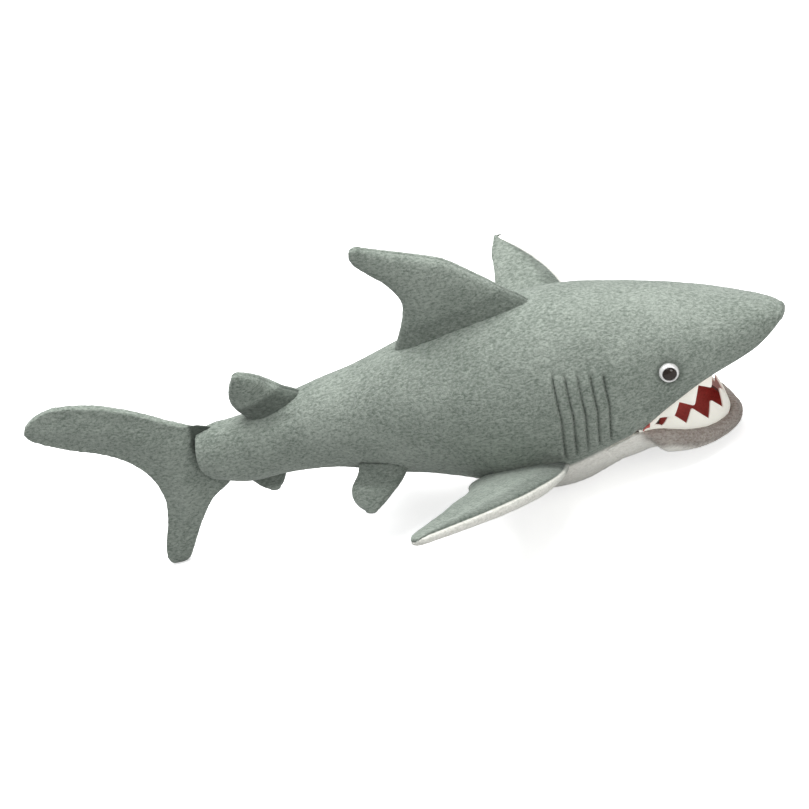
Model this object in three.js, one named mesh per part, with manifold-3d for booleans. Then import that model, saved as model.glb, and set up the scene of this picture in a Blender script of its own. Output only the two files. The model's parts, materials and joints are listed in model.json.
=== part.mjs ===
// A plush shark about 680 mm long, lying on its belly with its mouth open.
// Millimetres: +X runs to the nose, +Z is up, the floor is z = 0 and y = 0 is the middle of the toy.
// Every sewn panel is a thin sheet, and every stuffed space holds a loose filling of its own.
import * as THREE from 'three';
import { mergeVertices } from 'three/addons/utils/BufferGeometryUtils.js';
import Module from 'manifold-3d';

const wasm = await Module();
wasm.setup();

// Cloth and sewing
const skinThick = 2.2;           // plush, pile included
const liningThick = 1.4;         // smooth red cloth in the mouth
const feltThick = 1.6;           // the teeth
const cornerHeight = 2.5;        // of the teeth at the corners of the mouth
const cornerShare = 0.24;        // share of a tooth strip over which it grows to its full height
const gap = 0.3;                 // between pieces that touch
const looseGap = 1.9;            // a filling is a little smaller than the panels around it
const fillingInset = skinThick + looseGap;
const seamHalfGap = 0.2;         // half the space between two panels at a seam
const bellySeamGap = 0.015;      // turn, in radians, left open between the side and belly panels

// Body: crown and keel are the heights of the top and the underside, half is half the width.
const bodyStations = [
  { x: -184, crown: 124, keel: 75, half: 18 },
  { x: -170, crown: 127.5, keel: 71, half: 22 },
  { x: -150, crown: 128.2, keel: 68.4, half: 24 },
  { x: -110, crown: 134.8, keel: 67, half: 27.5 },
  { x: -70, crown: 143.5, keel: 59.6, half: 33.6 },
  { x: -30, crown: 149.3, keel: 44.7, half: 42 },
  { x: 10, crown: 159.5, keel: 32, half: 51.5 },
  { x: 50, crown: 165.5, keel: 15.5, half: 61 },
  { x: 90, crown: 172, keel: -3, half: 68 },
  { x: 130, crown: 176, keel: -6, half: 70 },
  { x: 170, crown: 174, keel: 2.5, half: 68 },
  { x: 205, crown: 166, keel: 16, half: 62.5 },
  { x: 230, crown: 158.5, keel: 37, half: 57 },
  { x: 250, crown: 152.5, keel: 50, half: 52.5 },
  { x: 270, crown: 145.5, keel: 59, half: 47 },
  { x: 290, crown: 138, keel: 67, half: 40.5 },
  { x: 310, crown: 131, keel: 74, half: 33 },
  { x: 330, crown: 124, keel: 82, half: 24 },
  { x: 345, crown: 117.5, keel: 92, half: 14 },
  { x: 353, crown: 111, keel: 101, half: 5.5 },
];
const lowerFullness = 0.9;       // under 1 squares the lower half of a section

// Lower edge of the grey side panels: the belly seam, then the upper lip from the corner of the mouth on.
const edgeStations = [
  { x: -60, z: 62 },
  { x: 0, z: 46 },
  { x: 60, z: 36 },
  { x: 140, z: 43 },
  { x: 188, z: 52 },
  { x: 207, z: 57 },
  { x: 230, z: 66 },
  { x: 249, z: 73 },
  { x: 265, z: 79 },
  { x: 280, z: 83 },
  { x: 308, z: 87.5 },
  { x: 321, z: 90 },
  { x: 336, z: 96 },
  { x: 353, z: 105 },
];

// Joints
const jawHinge = { x: 207, z: 54 };
const tailBendX = -50;           // the tail stock bends about an upright axis here
const tailBendRadius = 37;
const jawBackSlope = 0.2;        // the throat leans back by this much to let the jaw drop
const throatGap = 1;             // between the throat and the back of the jaw

// Mouth
const palateArch = 10;
const palateFront = 295;
const noseEnd = 353;

function valueAt(rows, key, x) {
  const last = rows.length - 1;
  let i = rows.findIndex((row) => row.x >= x);
  i = THREE.MathUtils.clamp(i < 0 ? last : i, 1, last);
  const a = rows[i - 1];
  const b = rows[i];
  const before = rows[Math.max(i - 2, 0)];
  const after = rows[Math.min(i + 1, last)];
  const t = THREE.MathUtils.clamp((x - a.x) / (b.x - a.x), 0, 1);
  const slopeA = (b[key] - before[key]) / (b.x - before.x) * (b.x - a.x);
  const slopeB = (after[key] - a[key]) / (after.x - a.x) * (b.x - a.x);
  const t2 = t * t;
  const t3 = t2 * t;
  return (2 * t3 - 3 * t2 + 1) * a[key] + (t3 - 2 * t2 + t) * slopeA
    + (3 * t2 - 2 * t3) * b[key] + (t3 - t2) * slopeB;
}

// A point on a section of the body. turn is 0 at the crown, 90 degrees on the left and 180 at the keel.
function bodyPoint(x, turn, inset, share = 1) {
  const crown = valueAt(bodyStations, 'crown', x);
  const keel = valueAt(bodyStations, 'keel', x);
  const half = Math.max(valueAt(bodyStations, 'half', x) - inset, 0.4);
  const tall = Math.max((crown - keel) / 2 - inset, 0.4);
  const power = Math.cos(turn) < 0 ? lowerFullness : 1;
  const across = Math.sign(Math.sin(turn)) * Math.abs(Math.sin(turn)) ** power;
  const up = Math.sign(Math.cos(turn)) * Math.abs(Math.cos(turn)) ** power;
  const z = (crown + keel) / 2 + share * tall * up;
  return new THREE.Vector3(x, share * half * across, Math.max(z, inset));
}

// The turn at which the outside of the body passes height z.
function turnAtHeight(x, z) {
  const crown = valueAt(bodyStations, 'crown', x);
  const keel = valueAt(bodyStations, 'keel', x);
  const up = THREE.MathUtils.clamp((z - (crown + keel) / 2) / ((crown - keel) / 2), -0.999, 0.999);
  const power = up < 0 ? lowerFullness : 1;
  return Math.acos(Math.sign(up) * Math.abs(up) ** (1 / power));
}

const edgeHeight = (x) => valueAt(edgeStations, 'z', x);
const lipHalfWidth = (x, inset) => Math.abs(bodyPoint(x, turnAtHeight(x, edgeHeight(x)), inset).y);

// Moves every vertex of a geometry with place(), shares the corners and turns the faces outwards.
function reshape(geometry, place) {
  geometry.deleteAttribute('uv');
  geometry.deleteAttribute('normal');
  const merged = mergeVertices(geometry, 1e-4);
  const position = merged.getAttribute('position');
  const point = new THREE.Vector3();
  for (let i = 0; i < position.count; i += 1) {
    point.fromBufferAttribute(position, i);
    const moved = place(point);
    position.setXYZ(i, moved.x, moved.y, moved.z);
  }
  return facingOut(merged);
}

function facingOut(geometry) {
  const position = geometry.getAttribute('position');
  const index = geometry.getIndex();
  const corner = [0, 1, 2].map(() => new THREE.Vector3());
  let volume = 0;
  for (let i = 0; i < index.count; i += 3) {
    corner.forEach((v, k) => v.fromBufferAttribute(position, index.getX(i + k)));
    volume += corner[0].dot(corner[1].clone().cross(corner[2]));
  }
  if (volume < 0) {
    for (let i = 0; i < index.count; i += 3) {
      const first = index.getX(i);
      index.setX(i, index.getX(i + 2));
      index.setX(i + 2, first);
    }
  }
  geometry.computeVertexNormals();
  return geometry;
}

// A sheet: place(u, v, depth) with u and v from 0 to 1, and depth 0 outside and 1 inside.
function sheet(stepsU, stepsV, place) {
  const box = new THREE.BoxGeometry(1, 1, 1, stepsU, stepsV, 1);
  return reshape(box, (p) => place(p.x + 0.5, p.y + 0.5, 0.5 - p.z));
}

// A stuffed body: place(along, turn, share) with along from 0 to 1 and share 1 at the surface.
function stuffing(stepsAround, stepsAlong, place) {
  const tube = new THREE.CylinderGeometry(1, 1, 1, stepsAround, stepsAlong);
  return reshape(tube, (p) => place(p.y + 0.5, Math.atan2(p.x, p.z), Math.min(Math.hypot(p.x, p.z), 1)));
}

function solid(geometry) {
  const shared = geometry.clone();
  shared.deleteAttribute('uv');
  shared.deleteAttribute('normal');
  const merged = mergeVertices(shared, 1e-4);
  return new wasm.Manifold(new wasm.Mesh({
    numProp: 3,
    vertProperties: new Float32Array(merged.getAttribute('position').array),
    triVerts: new Uint32Array(merged.getIndex().array),
  }));
}

function geometryOf(manifold) {
  const mesh = manifold.getMesh();
  const geometry = new THREE.BufferGeometry();
  geometry.setAttribute('position', new THREE.BufferAttribute(new Float32Array(mesh.vertProperties), 3));
  geometry.setIndex(new THREE.BufferAttribute(new Uint32Array(mesh.triVerts), 1));
  geometry.computeVertexNormals();
  return geometry;
}

const cut = (geometry, ...tools) =>
  geometryOf(tools.reduce((left, tool) => left.subtract(solid(tool)), solid(geometry)));

// Materials
const cloth = (color, roughness) => new THREE.MeshStandardMaterial({ color, roughness, metalness: 0 });
const greyPlush = () => cloth(0x929a91, 0.95);
const palePlush = () => cloth(0xe9e8e4, 0.95);
const lipPlush = () => cloth(0xa39b91, 0.95);
const redCloth = () => cloth(0x86403a, 0.7);
const whiteFelt = () => cloth(0xfbfbea, 0.85);
const polyester = () => cloth(0xf4f4f2, 1);
const silverPlastic = () => new THREE.MeshStandardMaterial({ color: 0xe4e4e0, roughness: 0.25, metalness: 0.2 });
const darkPlastic = () => new THREE.MeshStandardMaterial({ color: 0x1d1512, roughness: 0.08, metalness: 0 });
const clearPlastic = () => new THREE.MeshStandardMaterial({ color: 0xd8d8d2, roughness: 0.4, metalness: 0 });

const shark = new THREE.Group();
const trunk = new THREE.Group();
const tailStock = new THREE.Group();
const jaw = new THREE.Group();
shark.add(trunk, tailStock, jaw);

function add(group, name, geometry, material) {
  const mesh = new THREE.Mesh(geometry, material);
  mesh.name = name;
  group.add(mesh);
  return mesh;
}

// --- Tools that cut neighbours apart ---

// Everything behind the bend of the tail, less a round end for the trunk to turn in.
function behindBend(radius) {
  const block = new THREE.BoxGeometry(120, 200, 400).translate(tailBendX - 60, 0, 100);
  const drum = new THREE.CylinderGeometry(radius, radius, 500, 64).rotateX(Math.PI / 2).translate(tailBendX, 0, 100);
  return cut(block, drum);
}

const tailDrum = (radius) =>
  new THREE.CylinderGeometry(radius, radius, 400, 64).rotateX(Math.PI / 2).translate(tailBendX, 0, 100);

// Everything in front of the throat and below the corner of the mouth.
const inFrontOfThroat = () => reshape(new THREE.BoxGeometry(1, 1, 1), (p) => {
  const z = p.z < 0 ? -20 : jawHinge.z + 2;
  const back = throatX(z);
  return new THREE.Vector3(p.x < 0 ? back : 400, p.y * 200, z);
});

function throatX(z) {
  return jawHinge.x - throatGap - jawBackSlope * (jawHinge.z - z);
}

// --- Trunk and head ---

const skinBack = tailBendX - 24;
const trunkBack = behindBend(tailBendRadius);

function sideSkin(side, from, to, stepsAlong, stepsAround, lowest) {
  return sheet(stepsAlong, stepsAround, (u, v, depth) => {
    const x = THREE.MathUtils.lerp(from, to, u);
    const half = valueAt(bodyStations, 'half', x);
    const start = Math.min(seamHalfGap / half, 0.2);
    const end = lowest(x);
    const turn = THREE.MathUtils.lerp(start, end, v);
    return bodyPoint(x, side * turn, depth * skinThick);
  });
}

const eyes = { x: 250.5, z: 103, yaw: 17, pitch: 4 };
const eyeRadius = 9.2;
const postRadius = 2.4;
const postLength = 12;
const washerDepth = 6;

function eyeFrame(side) {
  const surface = bodyPoint(eyes.x, side * turnAtHeight(eyes.x, eyes.z), 0);
  const frame = new THREE.Group();
  frame.position.copy(surface);
  const yaw = THREE.MathUtils.degToRad(eyes.yaw);
  const pitch = THREE.MathUtils.degToRad(eyes.pitch);
  frame.rotation.set(-side * (Math.PI / 2 - pitch), 0, -side * yaw, 'ZYX');
  frame.updateMatrixWorld(true);
  return frame;
}

// Cylinder on the eye's axis, from one depth to another, positive into the head.
function eyeDrill(side, radius, outerDepth, innerDepth) {
  const drill = new THREE.CylinderGeometry(radius, radius, innerDepth - outerDepth, 24);
  drill.translate(0, -(innerDepth + outerDepth) / 2, 0);
  drill.rotateX(Math.PI / 2);
  return drill.applyMatrix4(eyeFrame(side).matrixWorld);
}

for (const [word, side] of [['right', -1], ['left', 1]]) {
  const skin = sideSkin(side, skinBack, noseEnd, 28, 8, (x) => turnAtHeight(x, edgeHeight(x)));
  const recess = eyeDrill(side, eyeRadius + 0.5, -12, 0.9);
  const hole = eyeDrill(side, postRadius + 0.4, -12, 12);
  add(trunk, `side_skin_${word}`, cut(skin, trunkBack, recess, hole), greyPlush());
}

const bellySkin = sheet(16, 12, (u, v, depth) => {
  const back = skinBack;
  const front = 205;
  const rough = THREE.MathUtils.lerp(back, front, u);
  const seam = turnAtHeight(rough, edgeHeight(rough)) + bellySeamGap;
  const turn = THREE.MathUtils.lerp(seam, 2 * Math.PI - seam, v);
  const z = bodyPoint(front - 4, turn, depth * skinThick).z;
  return bodyPoint(THREE.MathUtils.lerp(back, throatX(z), u), turn, depth * skinThick);
});
add(trunk, 'belly_panel', cut(bellySkin, trunkBack), palePlush());

const bodyStuffing = (from, to, stepsAlong) => stuffing(20, stepsAlong, (along, turn, share) =>
  bodyPoint(THREE.MathUtils.lerp(from, to, along), turn, fillingInset, share));

const snoutBack = 206;
const trunkFilling = bodyStuffing(skinBack, snoutBack - gap, 12);
const trunkCut = cut(trunkFilling, trunkBack, inFrontOfThroat());
add(trunk, 'trunk_filling', trunkCut, polyester());

const palateHeight = (x, y) => {
  const half = lipHalfWidth(x, fillingInset);
  const fade = THREE.MathUtils.smoothstep(palateFront + 30 - x, 0, 60);
  return edgeHeight(x) + fade * palateArch * (1 - Math.min((y / half) ** 2, 1));
};

// Everything under the roof of the mouth, raised by lift.
const underPalate = (lift) => reshape(new THREE.BoxGeometry(1, 1, 1, 14, 8, 1), (p) => {
  const x = THREE.MathUtils.lerp(snoutBack - 1, noseEnd, p.x + 0.5);
  const half = Math.max(lipHalfWidth(x, 0), 4);
  const y = p.y * 2 * (half + 4);
  return new THREE.Vector3(x, y, p.z < 0 ? -30 : palateHeight(x, y) + lift);
});

const snoutFilling = cut(
  bodyStuffing(snoutBack, 345, 10),
  underPalate(liningThick + 2 * gap),
  eyeDrill(-1, eyeRadius + 1.4, -2, postLength + 3),
  eyeDrill(1, eyeRadius + 1.4, -2, postLength + 3),
);
add(trunk, 'snout_filling', snoutFilling, polyester());

function roofSheet(from, to, steps, thick) {
  return sheet(steps, 8, (u, v, depth) => {
    const x = THREE.MathUtils.lerp(from, to, u);
    const half = Math.max(lipHalfWidth(x, fillingInset + 0.4), 0.8);
    const y = THREE.MathUtils.lerp(-half, half, v);
    return new THREE.Vector3(x, y, palateHeight(x, y) + (1 - depth) * thick);
  });
}
add(trunk, 'palate_lining', roofSheet(snoutBack + 1, palateFront, 12, liningThick), redCloth());
add(trunk, 'snout_underside', roofSheet(palateFront + gap, 346, 6, liningThick), palePlush());

// --- Eyes: a silver disc on a ribbed post, a dark pupil and the locking washer inside the head ---

for (const [word, side] of [['right', -1], ['left', 1]]) {
  const frame = eyeFrame(side);
  trunk.add(frame);
  // the lathe's axis is turned from Y to the frame's +Z, which points out of the head
  const lathe = (profile) =>
    new THREE.LatheGeometry(profile.map(([r, h]) => new THREE.Vector2(r, h)), 18).rotateX(Math.PI / 2);
  const disc = lathe([
    [0, -postLength], [postRadius - 0.6, -postLength], [postRadius, -postLength + 1.5], [postRadius, -0.6],
    [eyeRadius, -0.6], [eyeRadius, 0.9], [eyeRadius - 1.2, 2.4], [6.2, 3.6], [5.9, 2.6], [0, 2.6],
  ]);
  const pupil = lathe([[0, 2.9], [5.5, 2.9], [5.6, 3.9], [4.4, 4.8], [2.4, 5.4], [0, 5.6]]);
  const washer = lathe([
    [postRadius + 0.3, -washerDepth - 1.5], [9, -washerDepth - 1.5], [9.3, -washerDepth - 0.8],
    [9, -washerDepth], [postRadius + 0.3, -washerDepth], [postRadius + 0.3, -washerDepth - 1.5],
  ]);
  add(frame, `eye_disc_${word}`, reshape(disc, (p) => p), silverPlastic());
  add(frame, `eye_pupil_${word}`, reshape(pupil, (p) => p), darkPlastic());
  add(frame, `eye_washer_${word}`, reshape(washer, (p) => p), clearPlastic());
}

// --- Teeth: one felt strip along each jaw ---

// A zigzag strip bent along a path in plan. lift(x) is the height of its sewn edge, and grow is +1 or -1.
// The strip gets lower towards the corners of the mouth.
function teeth(path, count, band, tall, lift, grow) {
  const curve = new THREE.CatmullRomCurve3(path.map(([x, y]) => new THREE.Vector3(x, y, 0)));
  return sheet(count * 4, 1, (u, v, depth) => {
    const at = curve.getPointAt(u);
    const along = curve.getTangentAt(u);
    const inward = new THREE.Vector3(-along.y, along.x, 0).multiplyScalar(depth * feltThick);
    const full = THREE.MathUtils.smoothstep(Math.min(u, 1 - u), 0, cornerShare);
    const zigzag = 1 - Math.abs(2 * ((u * count) % 1) - 1);
    const height = THREE.MathUtils.lerp(cornerHeight, band + zigzag * tall, full);
    return new THREE.Vector3(at.x + inward.x, at.y + inward.y, lift(at.x) + grow * v * height);
  });
}

const mirrored = (half) => [...half, ...half.slice(0, -1).reverse().map(([x, y]) => [x, -y])];

const upperPath = mirrored([[216, -46.5], [235, -45.5], [262, -41.5], [281, -35], [291, -26], [296, -13], [297, 0]]);
const lowerPath = mirrored([[214, -37.5], [225, -35], [240, -30], [252, -22.5], [257.5, -12.5], [260, 0]]);
const upperTeeth = teeth(upperPath, 11, 3, 13, (x) => edgeHeight(x) - gap, -1);
add(trunk, 'upper_teeth', upperTeeth, whiteFelt());

// --- Lower jaw ---

const jawStations = [
  { x: 207.5, top: 52, bottom: 19, half: 54 },
  { x: 225, top: 43, bottom: 9, half: 50 },
  { x: 240, top: 34, bottom: 4.6, half: 45 },
  { x: 254, top: 28, bottom: 2.8, half: 37.5 },
  { x: 265, top: 25, bottom: 3, half: 27.5 },
  { x: 272, top: 23, bottom: 4.5, half: 17.5 },
  { x: 276.5, top: 19, bottom: 9, half: 8 },
];
const scoopStations = [
  { x: 200, deep: 34, half: 47.5 },
  { x: 225, deep: 22, half: 43 },
  { x: 240, deep: 16, half: 38 },
  { x: 254, deep: 13, half: 29.5 },
  { x: 262, deep: 14, half: 20 },
  { x: 267, deep: 18, half: 8 },
];
const jawTop = 70;
const jawBack = 207.5;
const jawFront = 276;

// stations crowd towards the rounded front
const crowd = (from, to, share) => from + (to - from) * Math.sin(share * Math.PI / 2);

const jawBody = (inset) => stuffing(20, 8, (along, turn, share) => {
  const x = crowd(jawBack, jawFront - inset, along);
  const top = valueAt(jawStations, 'top', x) - inset;
  const bottom = valueAt(jawStations, 'bottom', x) + inset;
  const half = Math.max(valueAt(jawStations, 'half', x) - inset, 1);
  const across = Math.sign(Math.sin(turn)) * Math.abs(Math.sin(turn)) ** 0.8;
  const up = Math.sign(Math.cos(turn)) * Math.abs(Math.cos(turn)) ** 0.8;
  const tall = Math.max((top - bottom) / 2, 0.6);
  return new THREE.Vector3(x, share * half * across, (top + bottom) / 2 + share * tall * up);
});

// The hollow of the mouth inside the lip, as a bowl with straight walls above its floor.
const scoop = (inset) => stuffing(20, 7, (along, turn, share) => {
  const x = crowd(200, 267 - inset, along);
  const half = Math.max(valueAt(scoopStations, 'half', x) - inset, 1);
  const deep = valueAt(scoopStations, 'deep', x) + inset;
  const across = Math.sign(Math.sin(turn)) * Math.abs(Math.sin(turn)) ** 0.7;
  const up = Math.cos(turn);
  const z = up > 0 ? jawTop : THREE.MathUtils.lerp(jawTop, deep, Math.abs(up) ** 0.6 * share);
  return new THREE.Vector3(x, share * half * across, z);
});

const jawFilling = cut(jawBody(fillingInset), scoop(0));
add(jaw, 'jaw_filling', jawFilling, polyester());

const behindJaw = new THREE.BoxGeometry(20, 200, 200).translate(jawBack - 10, 0, 20);
const jawOuter = cut(jawBody(0), jawBody(skinThick), scoop(0));
add(jaw, 'jaw_skin', jawOuter, lipPlush());

// the lining is the bowl's wall, cut off level with the lip
const aboveLip = reshape(new THREE.BoxGeometry(1, 1, 1, 10, 1, 1), (p) => {
  const x = THREE.MathUtils.lerp(190, 290, p.x + 0.5);
  const level = valueAt(jawStations, 'top', x) - 1;
  return new THREE.Vector3(x, p.y * 200, p.z < 0 ? level : 90);
});
add(jaw, 'jaw_lining', cut(scoop(gap), scoop(gap + liningThick), aboveLip, behindJaw), redCloth());

const lowerTeeth = teeth(lowerPath, 8, 6, 15, (x) => valueAt(jawStations, 'top', x) - 1.4, 1);
add(jaw, 'lower_teeth', lowerTeeth, whiteFelt());

// --- Tail stock ---

const stockFront = tailBendX - 19;
const stockDrum = tailDrum(tailBendRadius + 1);
for (const [word, side] of [['right', -1], ['left', 1]]) {
  const toKeel = (x) => Math.PI - seamHalfGap / valueAt(bodyStations, 'half', x);
  const skin = sideSkin(side, -184, stockFront, 10, 10, toKeel);
  add(tailStock, `tail_stock_skin_${word}`, cut(skin, stockDrum), greyPlush());
}
add(tailStock, 'tail_stock_filling', cut(bodyStuffing(-182, stockFront, 8), stockDrum), polyester());

// --- Fins ---

// Each fin is built with its hinge along X through the origin and its span along +Z. Its root is
// a round bead about the hinge, so it turns close to the body. front and rear are its two edges.
const finSkin = 1.8;
const finLooseGap = 2.2;

function finPoint(fin, span, turn, inset, share = 1) {
  const tip = fin.outline[fin.outline.length - 1].x;
  const along = THREE.MathUtils.clamp(span / tip, 0, 1);
  const bead = Math.sqrt(Math.max(fin.bead ** 2 - Math.min(span, 0) ** 2, 0));
  const swollen = THREE.MathUtils.lerp(fin.bead, fin.thick / 2, THREE.MathUtils.smoothstep(along, 0, 0.3));
  const crown = span < 0 ? bead : swollen * (1 - 0.6 * along ** 2);
  const front = valueAt(fin.outline, 'front', span) - inset;
  const rear = valueAt(fin.outline, 'rear', span) + inset;
  const half = Math.max((front - rear) / 2, 0.5) * share;
  const thick = Math.max(crown - inset, 0.5) * share;
  const edge = Math.sign(Math.cos(turn)) * Math.abs(Math.cos(turn)) ** 0.9;
  const swell = Math.sign(Math.sin(turn)) * Math.abs(Math.sin(turn)) ** 0.8;
  return new THREE.Vector3((front + rear) / 2 + half * edge, thick * swell, span);
}

// Adds the two panels and the filling of one fin. names are the panels on its +Y and -Y faces.
function addFin(frame, fin, name, [plusName, minusName], [plusCloth, minusCloth]) {
  const tip = fin.outline[fin.outline.length - 1].x;
  const panel = (first) => sheet(fin.steps, 6, (u, v, depth) => {
    const span = THREE.MathUtils.lerp(-0.85 * fin.bead, tip, u);
    const shy = 0.045;
    const turn = first + THREE.MathUtils.lerp(shy, Math.PI - shy, v);
    return finPoint(fin, span, turn, depth * finSkin);
  });
  const filling = stuffing(12, fin.steps, (along, turn, share) => {
    const span = THREE.MathUtils.lerp(-0.7 * fin.bead, tip - 2.5, along);
    return finPoint(fin, span, turn, finSkin + finLooseGap, share);
  });
  add(frame, `${name}_${plusName}`, panel(0), plusCloth);
  add(frame, `${name}_${minusName}`, panel(Math.PI), minusCloth);
  add(frame, `${name}_filling`, filling, polyester());
}

// A hinge on the body: the frame's X runs along the hinge and its Z leans out of the body.
function finFrame(position, lean, pitch, yaw) {
  const frame = new THREE.Group();
  frame.position.set(...position);
  const [x, y, z] = [lean, pitch, yaw].map(THREE.MathUtils.degToRad);
  frame.rotation.set(x, y, z, 'ZYX');
  return frame;
}

const dorsal = {
  thick: 22,
  bead: 9,
  steps: 8,
  outline: [
    { x: -9, front: 59, rear: -57 },
    { x: 0, front: 53, rear: -47 },
    { x: 15, front: 44, rear: -36.5 },
    { x: 29, front: 35, rear: -33 },
    { x: 50, front: 20, rear: -36.5 },
    { x: 64, front: 2, rear: -43 },
    { x: 77, front: -17, rear: -50 },
    { x: 86, front: -30, rear: -51 },
    { x: 91, front: -38, rear: -48 },
  ],
};
const dorsalFrame = finFrame([77, 0, 182.4], 0, -8.4, 0);
trunk.add(dorsalFrame);
addFin(dorsalFrame, dorsal, 'dorsal_fin', ['left', 'right'], [greyPlush(), greyPlush()]);

const secondDorsal = {
  thick: 20,
  bead: 8,
  steps: 5,
  outline: [
    { x: -8, front: 26, rear: -27 },
    { x: 0, front: 17, rear: -31 },
    { x: 10, front: 10, rear: -32 },
    { x: 18, front: 7, rear: -27 },
    { x: 25, front: 3, rear: -19 },
    { x: 30, front: -3, rear: -12 },
  ],
};
const secondDorsalFrame = finFrame([-110, 0, 144.4], 0, -12.2, 0);
tailStock.add(secondDorsalFrame);
addFin(secondDorsalFrame, secondDorsal, 'second_dorsal', ['left', 'right'], [greyPlush(), greyPlush()]);

const analFin = {
  thick: 12,
  bead: 6,
  steps: 4,
  outline: [
    { x: -6, front: 17, rear: -17 },
    { x: 0, front: 14, rear: -13 },
    { x: 5, front: 10, rear: -9 },
    { x: 9, front: 6, rear: -5 },
  ],
};
const analFrame = finFrame([-140, 0, 60.4], 180, 1, 0);
tailStock.add(analFrame);
addFin(analFrame, analFin, 'anal_fin', ['right', 'left'], [greyPlush(), greyPlush()]);

const pectoral = {
  thick: 22,
  bead: 7.5,
  steps: 8,
  outline: [
    { x: -7.5, front: 46, rear: -47 },
    { x: 0, front: 48, rear: -47 },
    { x: 16, front: 50, rear: -40 },
    { x: 35, front: 49, rear: -35 },
    { x: 68, front: 43, rear: -33 },
    { x: 98, front: 32, rear: -30 },
    { x: 121, front: 18, rear: -30 },
    { x: 140, front: 3, rear: -31 },
    { x: 152, front: -9, rear: -27 },
  ],
};
const pelvic = {
  thick: 14,
  bead: 6,
  steps: 5,
  outline: [
    { x: -6, front: 21, rear: -22 },
    { x: 4, front: 14, rear: -28 },
    { x: 14, front: 3, rear: -34 },
    { x: 23, front: -7, rear: -33 },
    { x: 29, front: -12, rear: -28 },
    { x: 32, front: -15, rear: -25 },
  ],
};
const pectoralSet = { x: 92, y: 72, z: 48, dihedral: 21, pitch: -2.4, yaw: 8.3 };
const pelvicSet = { x: -26, y: 42.5, z: 58.5, dihedral: -62, pitch: 10, yaw: 8 };

for (const [word, side] of [['right', -1], ['left', 1]]) {
  const sides = side < 0 ? ['top', 'underside'] : ['underside', 'top'];
  const wide = finFrame(
    [pectoralSet.x, side * pectoralSet.y, pectoralSet.z],
    -side * (90 - pectoralSet.dihedral), pectoralSet.pitch, side * pectoralSet.yaw,
  );
  shark.add(wide);
  const cloths = sides.map((name) => (name === 'top' ? greyPlush() : palePlush()));
  addFin(wide, pectoral, `pectoral_${word}`, sides, cloths);

  const faces = side < 0 ? ['outer', 'inner'] : ['inner', 'outer'];
  const small = finFrame(
    [pelvicSet.x, side * pelvicSet.y, pelvicSet.z],
    -side * (90 - pelvicSet.dihedral), pelvicSet.pitch, side * pelvicSet.yaw,
  );
  shark.add(small);
  addFin(small, pelvic, `pelvic_${word}`, faces, [greyPlush(), greyPlush()]);
}

// --- Tail fin: two flat panels over one filling, in the plane y = 0 ---

const tailOutline = [
  [-188, 129], [-202, 139], [-223, 153], [-256, 171], [-290, 180], [-311, 177], [-324, 168], [-320, 158],
  [-297, 144], [-264, 128], [-243, 109], [-233, 90], [-231, 68], [-240, 44], [-249, 24], [-254, 8],
  [-250, 0], [-242, 3], [-219, 33], [-205, 50], [-193, 61], [-186, 68], [-190, 78], [-194, 94], [-191, 112],
];
const tailThick = 13;
const tailPanelThick = 2;

function tailShape(shrink) {
  const points = tailOutline.map(([x, z]) => new THREE.Vector2(x, z));
  const curve = new THREE.SplineCurve([...points, points[0]]);
  const steps = 60;
  const shape = new THREE.Shape();
  for (let i = 0; i < steps; i += 1) {
    const at = curve.getPoint(i / steps);
    const along = curve.getTangent(i / steps);
    const inward = new THREE.Vector2(along.y, -along.x);
    const spot = at.addScaledVector(inward, shrink);
    if (i === 0) shape.moveTo(spot.x, spot.y);
    else shape.lineTo(spot.x, spot.y);
  }
  shape.closePath();
  return shape;
}

// An upright plate between two distances from the middle plane, along +Y.
function tailPlate(shrink, from, to, bevel) {
  const options = { depth: to - from - 2 * bevel, bevelEnabled: bevel > 0, bevelThickness: bevel };
  options.bevelSize = bevel;
  options.bevelOffset = -bevel;
  options.bevelSegments = 2;
  options.curveSegments = 1;
  const plate = new THREE.ExtrudeGeometry(tailShape(shrink), options);
  plate.translate(0, 0, bevel);
  return reshape(plate, (p) => new THREE.Vector3(p.x, from + p.z, Math.max(p.y, 0)));
}

const tailFin = new THREE.Group();
shark.add(tailFin);
const fillHalf = tailThick / 2 - tailPanelThick - gap;
add(tailFin, 'tail_fin_left', tailPlate(0, fillHalf + gap, tailThick / 2, 0), greyPlush());
add(tailFin, 'tail_fin_right', tailPlate(0, -tailThick / 2, -fillHalf - gap, 0), greyPlush());
add(tailFin, 'tail_fin_filling', tailPlate(1.5, -fillHalf, fillHalf, 1.5), polyester());

// The origin lies on the floor under the middle of the toy's box.
const boxCentreX = 13.4;
shark.position.x = -boxCentreX;
shark.updateMatrixWorld(true);

export default shark;
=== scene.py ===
# Plush shark lying on its belly with its mouth open: sewn plush covers, felt teeth and safety eyes.
import json
import math

import bmesh
import bpy
import numpy as np
from mathutils import Matrix, Vector


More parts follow.
